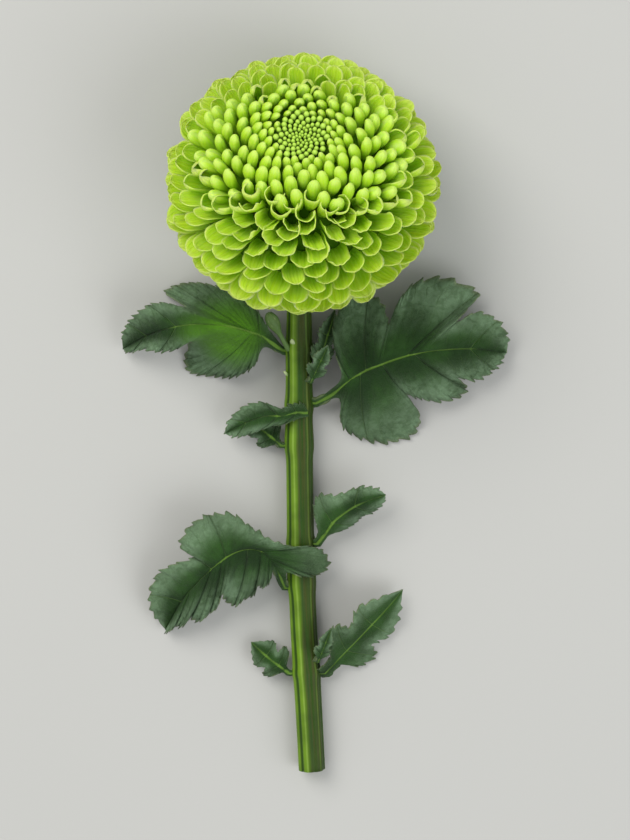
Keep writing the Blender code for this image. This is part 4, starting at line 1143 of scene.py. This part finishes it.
def leaf_surface(leaf):
    """The middle surface of a blade as a grid, whose rows run from the left margin to the right margin.

    Margins and midrib are curves through the leaf's own points. Teeth rise slowly along the margin and drop
    sharply. Rows curve towards the tip as veins do. The height falls away from the midrib, and swells
    between the side veins. Also gives each row's station on the midrib and its place along the margin.
    """
    spans = len(leaf["left"]) - 1
    at = np.linspace(0.0, spans, spans * ROWS_PER_SPAN + 1)
    station = np.clip(through(np.array(leaf["veins"])[:, None], at)[:, 0], 0.0, 1.0)
    seat = stem_seat(leaf["node"], leaf["clock"])
    size = leaf["length"]
    puff = leaf["puff"] / size
    midrib = ((0.0, 0.0, seat[2] / size), *leaf["midrib"])
    rib = through(midrib, station * (len(midrib) - 1))
    along_rib = unit(np.gradient(rib[:, :2], axis=0), 1e-6)
    cycle = (at * TEETH_PER_SPAN + TOOTH_START) % 1.0
    tooth = np.minimum(cycle / TOOTH_RISE, (1 - cycle) / (1 - TOOTH_RISE)) ** 1.15
    chance = np.random.default_rng(len(leaf["name"]) + spans)
    spread = LEAF_SPREAD[:, None]
    halves = []
    for half, side_veins in zip(("left", "right"), leaf["side_veins"]):
        slope, curl = leaf["fall_" + half]
        edge = through(leaf[half], at)
        panels = (-1.0, *side_veins, spans + 0.5)
        passed = np.interp(at, panels, np.arange(len(panels)))
        reach = edge - rib[:, :2]
        distance = np.linalg.norm(reach, axis=1)
        outward = reach / np.maximum(distance, 0.02)[:, None]
        forward = unit(np.gradient(edge, axis=0), 1e-6)
        free = smooth(distance, 0.03, 0.12) * (1 - smooth(at, spans - 0.6, spans))
        bite = 2.7 * tooth * (0.75 + 0.25 * chance.uniform(-1, 1, len(at))) - 0.5
        push = (leaf["tooth"] * free * bite)[:, None] * (outward + TOOTH_SLANT * forward)
        sweep = -VEIN_SWEEP * (distance * free * spread * (1 - spread))[..., None] * along_rib
        flat = rib[:, :2] + spread[..., None] * reach + spread[..., None] ** 6 * push + sweep
        away = spread * distance
        height = rib[:, 2] + slope * away + curl * away**2
        swell = np.abs(np.sin(math.pi * passed)) ** 0.8 + 0.30 * np.abs(np.sin(math.pi * at))
        across = spread**0.8 * (1 - 0.55 * spread)
        height = height + puff * (2.2 * swell * across - 0.25) * smooth(distance, 0.05, 0.20)
        wave = np.sin(2 * math.pi * at / 2.3 + chance.uniform(0, 6)) + 0.6 * np.sin(2 * math.pi * at / 1.1)
        height = height + 0.35 * puff * wave * spread**3
        halves.append(np.dstack((flat, height)))
    grid = np.concatenate((halves[0][::-1], halves[1][1:])) * size
    heading = math.radians(leaf["heading"])
    ahead = np.array((math.cos(heading), math.sin(heading)))
    aside = np.array((-math.sin(heading), math.cos(heading)))
    plan_xy = grid[..., :1] * ahead + grid[..., 1:2] * aside
    placed = np.dstack((plan_xy, grid[..., 2])) + np.array((seat[0], seat[1], 0.0))
    placed[..., 2] = settle(placed[..., 2], LEAF_CLEARANCE, LEAF_SOFTNESS)
    return np.swapaxes(placed, 0, 1), station, at


def leaf_piece(leaf):
    """Thickens a leaf's surface along its normals to a closed blade, and measures what its finish needs.

    vein is the distance to the nearest side vein and rib that to the midrib, in millimetres; edge runs from
    0 at the midrib to 1 at the margin, and branch counts the finer veins.
    """
    middle, station, at = leaf_surface(leaf)
    rib_column = len(LEAF_SPREAD) - 1
    spine = middle[:, rib_column]
    along_row = np.gradient(middle, axis=0)
    normal = np.cross(np.gradient(middle, axis=1), along_row)
    size = np.linalg.norm(normal, axis=-1, keepdims=True)
    normal = np.where(size > 1e-12, normal / np.maximum(size, 1e-12), 0.0)
    normal[-1] = normal[-2]
    normal = normal * np.where(normal[..., 2:].mean() < 0, -1.0, 1.0)
    off_rib = np.linalg.norm(middle - spine[:, None], axis=-1)
    stalk_width = (PETIOLE_WIDTH - PETIOLE_NARROWING * smooth(station, 0.10, 0.45))[:, None]
    stalk = np.exp(-((off_rib / stalk_width) ** 2)) * (1 - smooth(station, 0.15, 0.80))[:, None]
    margin = np.concatenate((LEAF_SPREAD[::-1], LEAF_SPREAD[1:]))[None, :] * np.ones_like(off_rib)
    blade = 0.5 * LEAF_THICKNESS * (1 - MARGIN_THINNING * margin**4)
    channel = 0.35 * PETIOLE_OVER * np.exp(-((off_rib / CHANNEL_WIDTH) ** 2)) * stalk
    top = middle + normal * (blade + PETIOLE_OVER * stalk - channel)[..., None]
    bottom = middle - normal * (blade + PETIOLE_UNDER * stalk)[..., None]
    clock = math.radians(leaf["clock"])
    outward = np.array((math.cos(clock), 0.0, math.sin(clock)))
    centre = spine[:1, None]
    sheets = []
    for sheet, lowest in ((top, LOWEST_TOP), (bottom, LOWEST_BOTTOM)):
        foot = centre + FOOT_SPREAD * (sheet[:1] - centre) - FOOT_SINK * outward
        sheet = np.concatenate((foot, sheet))
        sheet[..., 2] = np.maximum(sheet[..., 2], lowest)
        sheets.append(sheet[None] + PLAN_SHIFT)
    row_step = np.linalg.norm(along_row, axis=-1) * ROWS_PER_SPAN
    vein = off_rib.copy()
    halves = (slice(0, rib_column + 1), slice(rib_column, None))
    for half, side_veins in zip(halves, leaf["side_veins"]):
        off_vein = np.abs(at[:, None] - np.array(side_veins)[None]).min(axis=1)
        vein[:, half] = np.minimum(vein[:, half], off_vein[:, None] * row_step[:, half])

    def with_foot(values):
        return np.concatenate((values[:1], values))[None]

    coordinates = {
        "vein": with_foot(vein * 1000),
        "rib": with_foot(off_rib * 1000),
        "edge": with_foot(margin),
        "branch": with_foot(at[:, None] * 2 + 1.6 * margin),
        "station": with_foot(station[:, None] * np.ones_like(off_rib)),
    }
    return blade_mesh(leaf["name"], *sheets, coordinates)


def leaf_finish(name, painted_light):
    """Dark green blade with thin pale veins, and towards its outer margin a grey down and a grey painted
    sheen.

    The second argument is the middle of a patch of painted light, coloured brighter and yellower as if light
    shone through the blade, or None.
    """
    made, tree, shader = new_finish(name, 0.58, 0.16)
    station, edge = attribute(tree, "station"), attribute(tree, "edge")
    vein, rib, branch = attribute(tree, "vein"), attribute(tree, "rib"), attribute(tree, "branch")
    place = add_node(tree, "ShaderNodeTexCoord").outputs["Object"]
    cloud = noise(place, Scale=110.0, Detail=5.0)
    wrinkle = noise(place, Scale=620.0, Detail=3.0, Distortion=0.6)
    green = blend(between(cloud, 0.34, 0.66), LEAF_DARK, LEAF_GREEN)
    outside_painted_light = 1.0
    # A patch of painted light: the blade turns brighter and yellower round the given centre, with less grey
    # there.
    if painted_light:
        away = add_node(tree, "ShaderNodeVectorMath", operation="DISTANCE")
        connect(place, away.inputs[0])
        away.inputs[1].default_value = painted_light
        painted_light_mask = between(away.outputs["Value"], *PAINTED_LIGHT_REACH)
        green = blend(times(painted_light_mask, 0.92), green, LEAF_PAINTED_LIGHT)
        outside_painted_light = maths("SUBTRACT", 1.0, times(painted_light_mask, 0.85))
    # Grey in patches towards the outer margin: partly down, partly painted sheen where light glances off the
    # lobes.
    outer_part = times(between(edge, 0.30, 1.0), between(station, 0.05, 0.55))
    patch = plus(between(cloud, 0.38, 0.62), between(wrinkle, 0.35, 0.65))
    grey = times(outer_part, plus(times(patch, 0.62), 0.26))
    green = blend(times(grey, outside_painted_light), green, LEAF_DOWN_AND_SHEEN)
    fine = maths("FRACT", plus(branch, times(cloud, 1.4)))
    fine = maths("ABSOLUTE", maths("SUBTRACT", fine, 0.5))
    fine = times(between(fine, 0.06, 0.0), between(edge, 0.10, 0.30))
    green = blend(times(fine, 0.16), green, LEAF_VEIN)
    green = blend(times(between(vein, 0.22, 0.05), 0.45), green, LEAF_VEIN)
    main = times(between(rib, 0.42, 0.14), between(station, 1.0, 0.55))
    green = blend(times(main, 0.85), green, LEAF_MIDRIB)
    green = blend(times(between(edge, 0.95, 1.0), 0.50), green, TOOTH_TIP)
    down_height = skin(shader, green, times(between(edge, 0.10, 1.0), outside_painted_light))
    sunk = times(between(vein, 0.0, 0.45), 0.9)
    sunk = maths("SUBTRACT", sunk, times(fine, 0.35))
    height = plus(plus(sunk, times(wrinkle, 1.6)), down_height)
    emboss(shader, height, 0.90, 0.00060)
    shader.inputs["Sheen Weight"].default_value = 0.06
    shader.inputs["Sheen Roughness"].default_value = 0.5
    shader.inputs["Sheen Tint"].default_value = LEAF_SHEEN
    return made


# The upper left leaf gets a copy of the finish with the patch of painted light.
leaf_plain = leaf_finish("leaf", None)
leaf_painted_light = leaf_finish("leaf_painted_light", PAINTED_LIGHT_CENTRE)
for each_leaf in (*LEAVES, *SMALL_LEAVES):
    finish = leaf_painted_light if each_leaf["name"] == "leaf_upper_left" else leaf_plain
    show(each_leaf["name"] + "_blade", leaf_piece(each_leaf), finish, "leaf", each_leaf["name"])

# Side shoot: a club-shaped bud on its own stalk in the axil of the upper left leaf, wrapped in closed green
# bracts. Its profile is (radius, height) in millimetres, and its seat a place along the stem and an angle.
BUD_SEAT = (-0.0425, 142)
BUD_DIRECTION = (-0.42, 0.80, 0.42)
BUD_PROFILE = (
    (0.0, -1.8), (0.7, -1.6), (0.62, 1.5), (0.7, 3.8), (1.0, 5.0),
    (1.5, 6.6), (1.68, 8.0), (1.5, 9.3), (0.9, 10.4), (0.05, 10.8),
)
BUD_SCALES = 2.5
BUD_SCALE_SPIRAL = 260
BUD_SCALE_DEPTH = 0.10
bud_at = np.linspace(0.0, len(BUD_PROFILE) - 1.0, 46)
bud_out, bud_up = (through(BUD_PROFILE, bud_at) * 0.001).T
bud_turn = np.linspace(0.0, 2 * math.pi, 41)
bud_axis = unit(np.array(BUD_DIRECTION))
bud_side = unit(np.cross(bud_axis, (0.0, 0.0, 1.0)))
bud_swell = smooth(bud_up, 0.0035, 0.0075)[:, None]
bud_scale = np.abs(np.sin(BUD_SCALES * bud_turn[None] + BUD_SCALE_SPIRAL * bud_up[:, None])) ** 0.6
bud_ring = np.maximum(bud_out, 0.00003)[:, None] * (1 + BUD_SCALE_DEPTH * (bud_scale - 0.6) * bud_swell)
bud_wheel = circle(bud_turn, bud_side, np.cross(bud_axis, bud_side))
bud_foot = stem_seat(*BUD_SEAT) + PLAN_SHIFT
bud_rings = bud_foot + bud_up[:, None, None] * bud_axis + bud_ring[..., None] * bud_wheel
bud_values = {"across": ((1 - bud_scale) * bud_swell)[None]}
show("side_bud", tube_mesh("side_bud", bud_rings[None], bud_values), bract, "bract", "axil_bud")
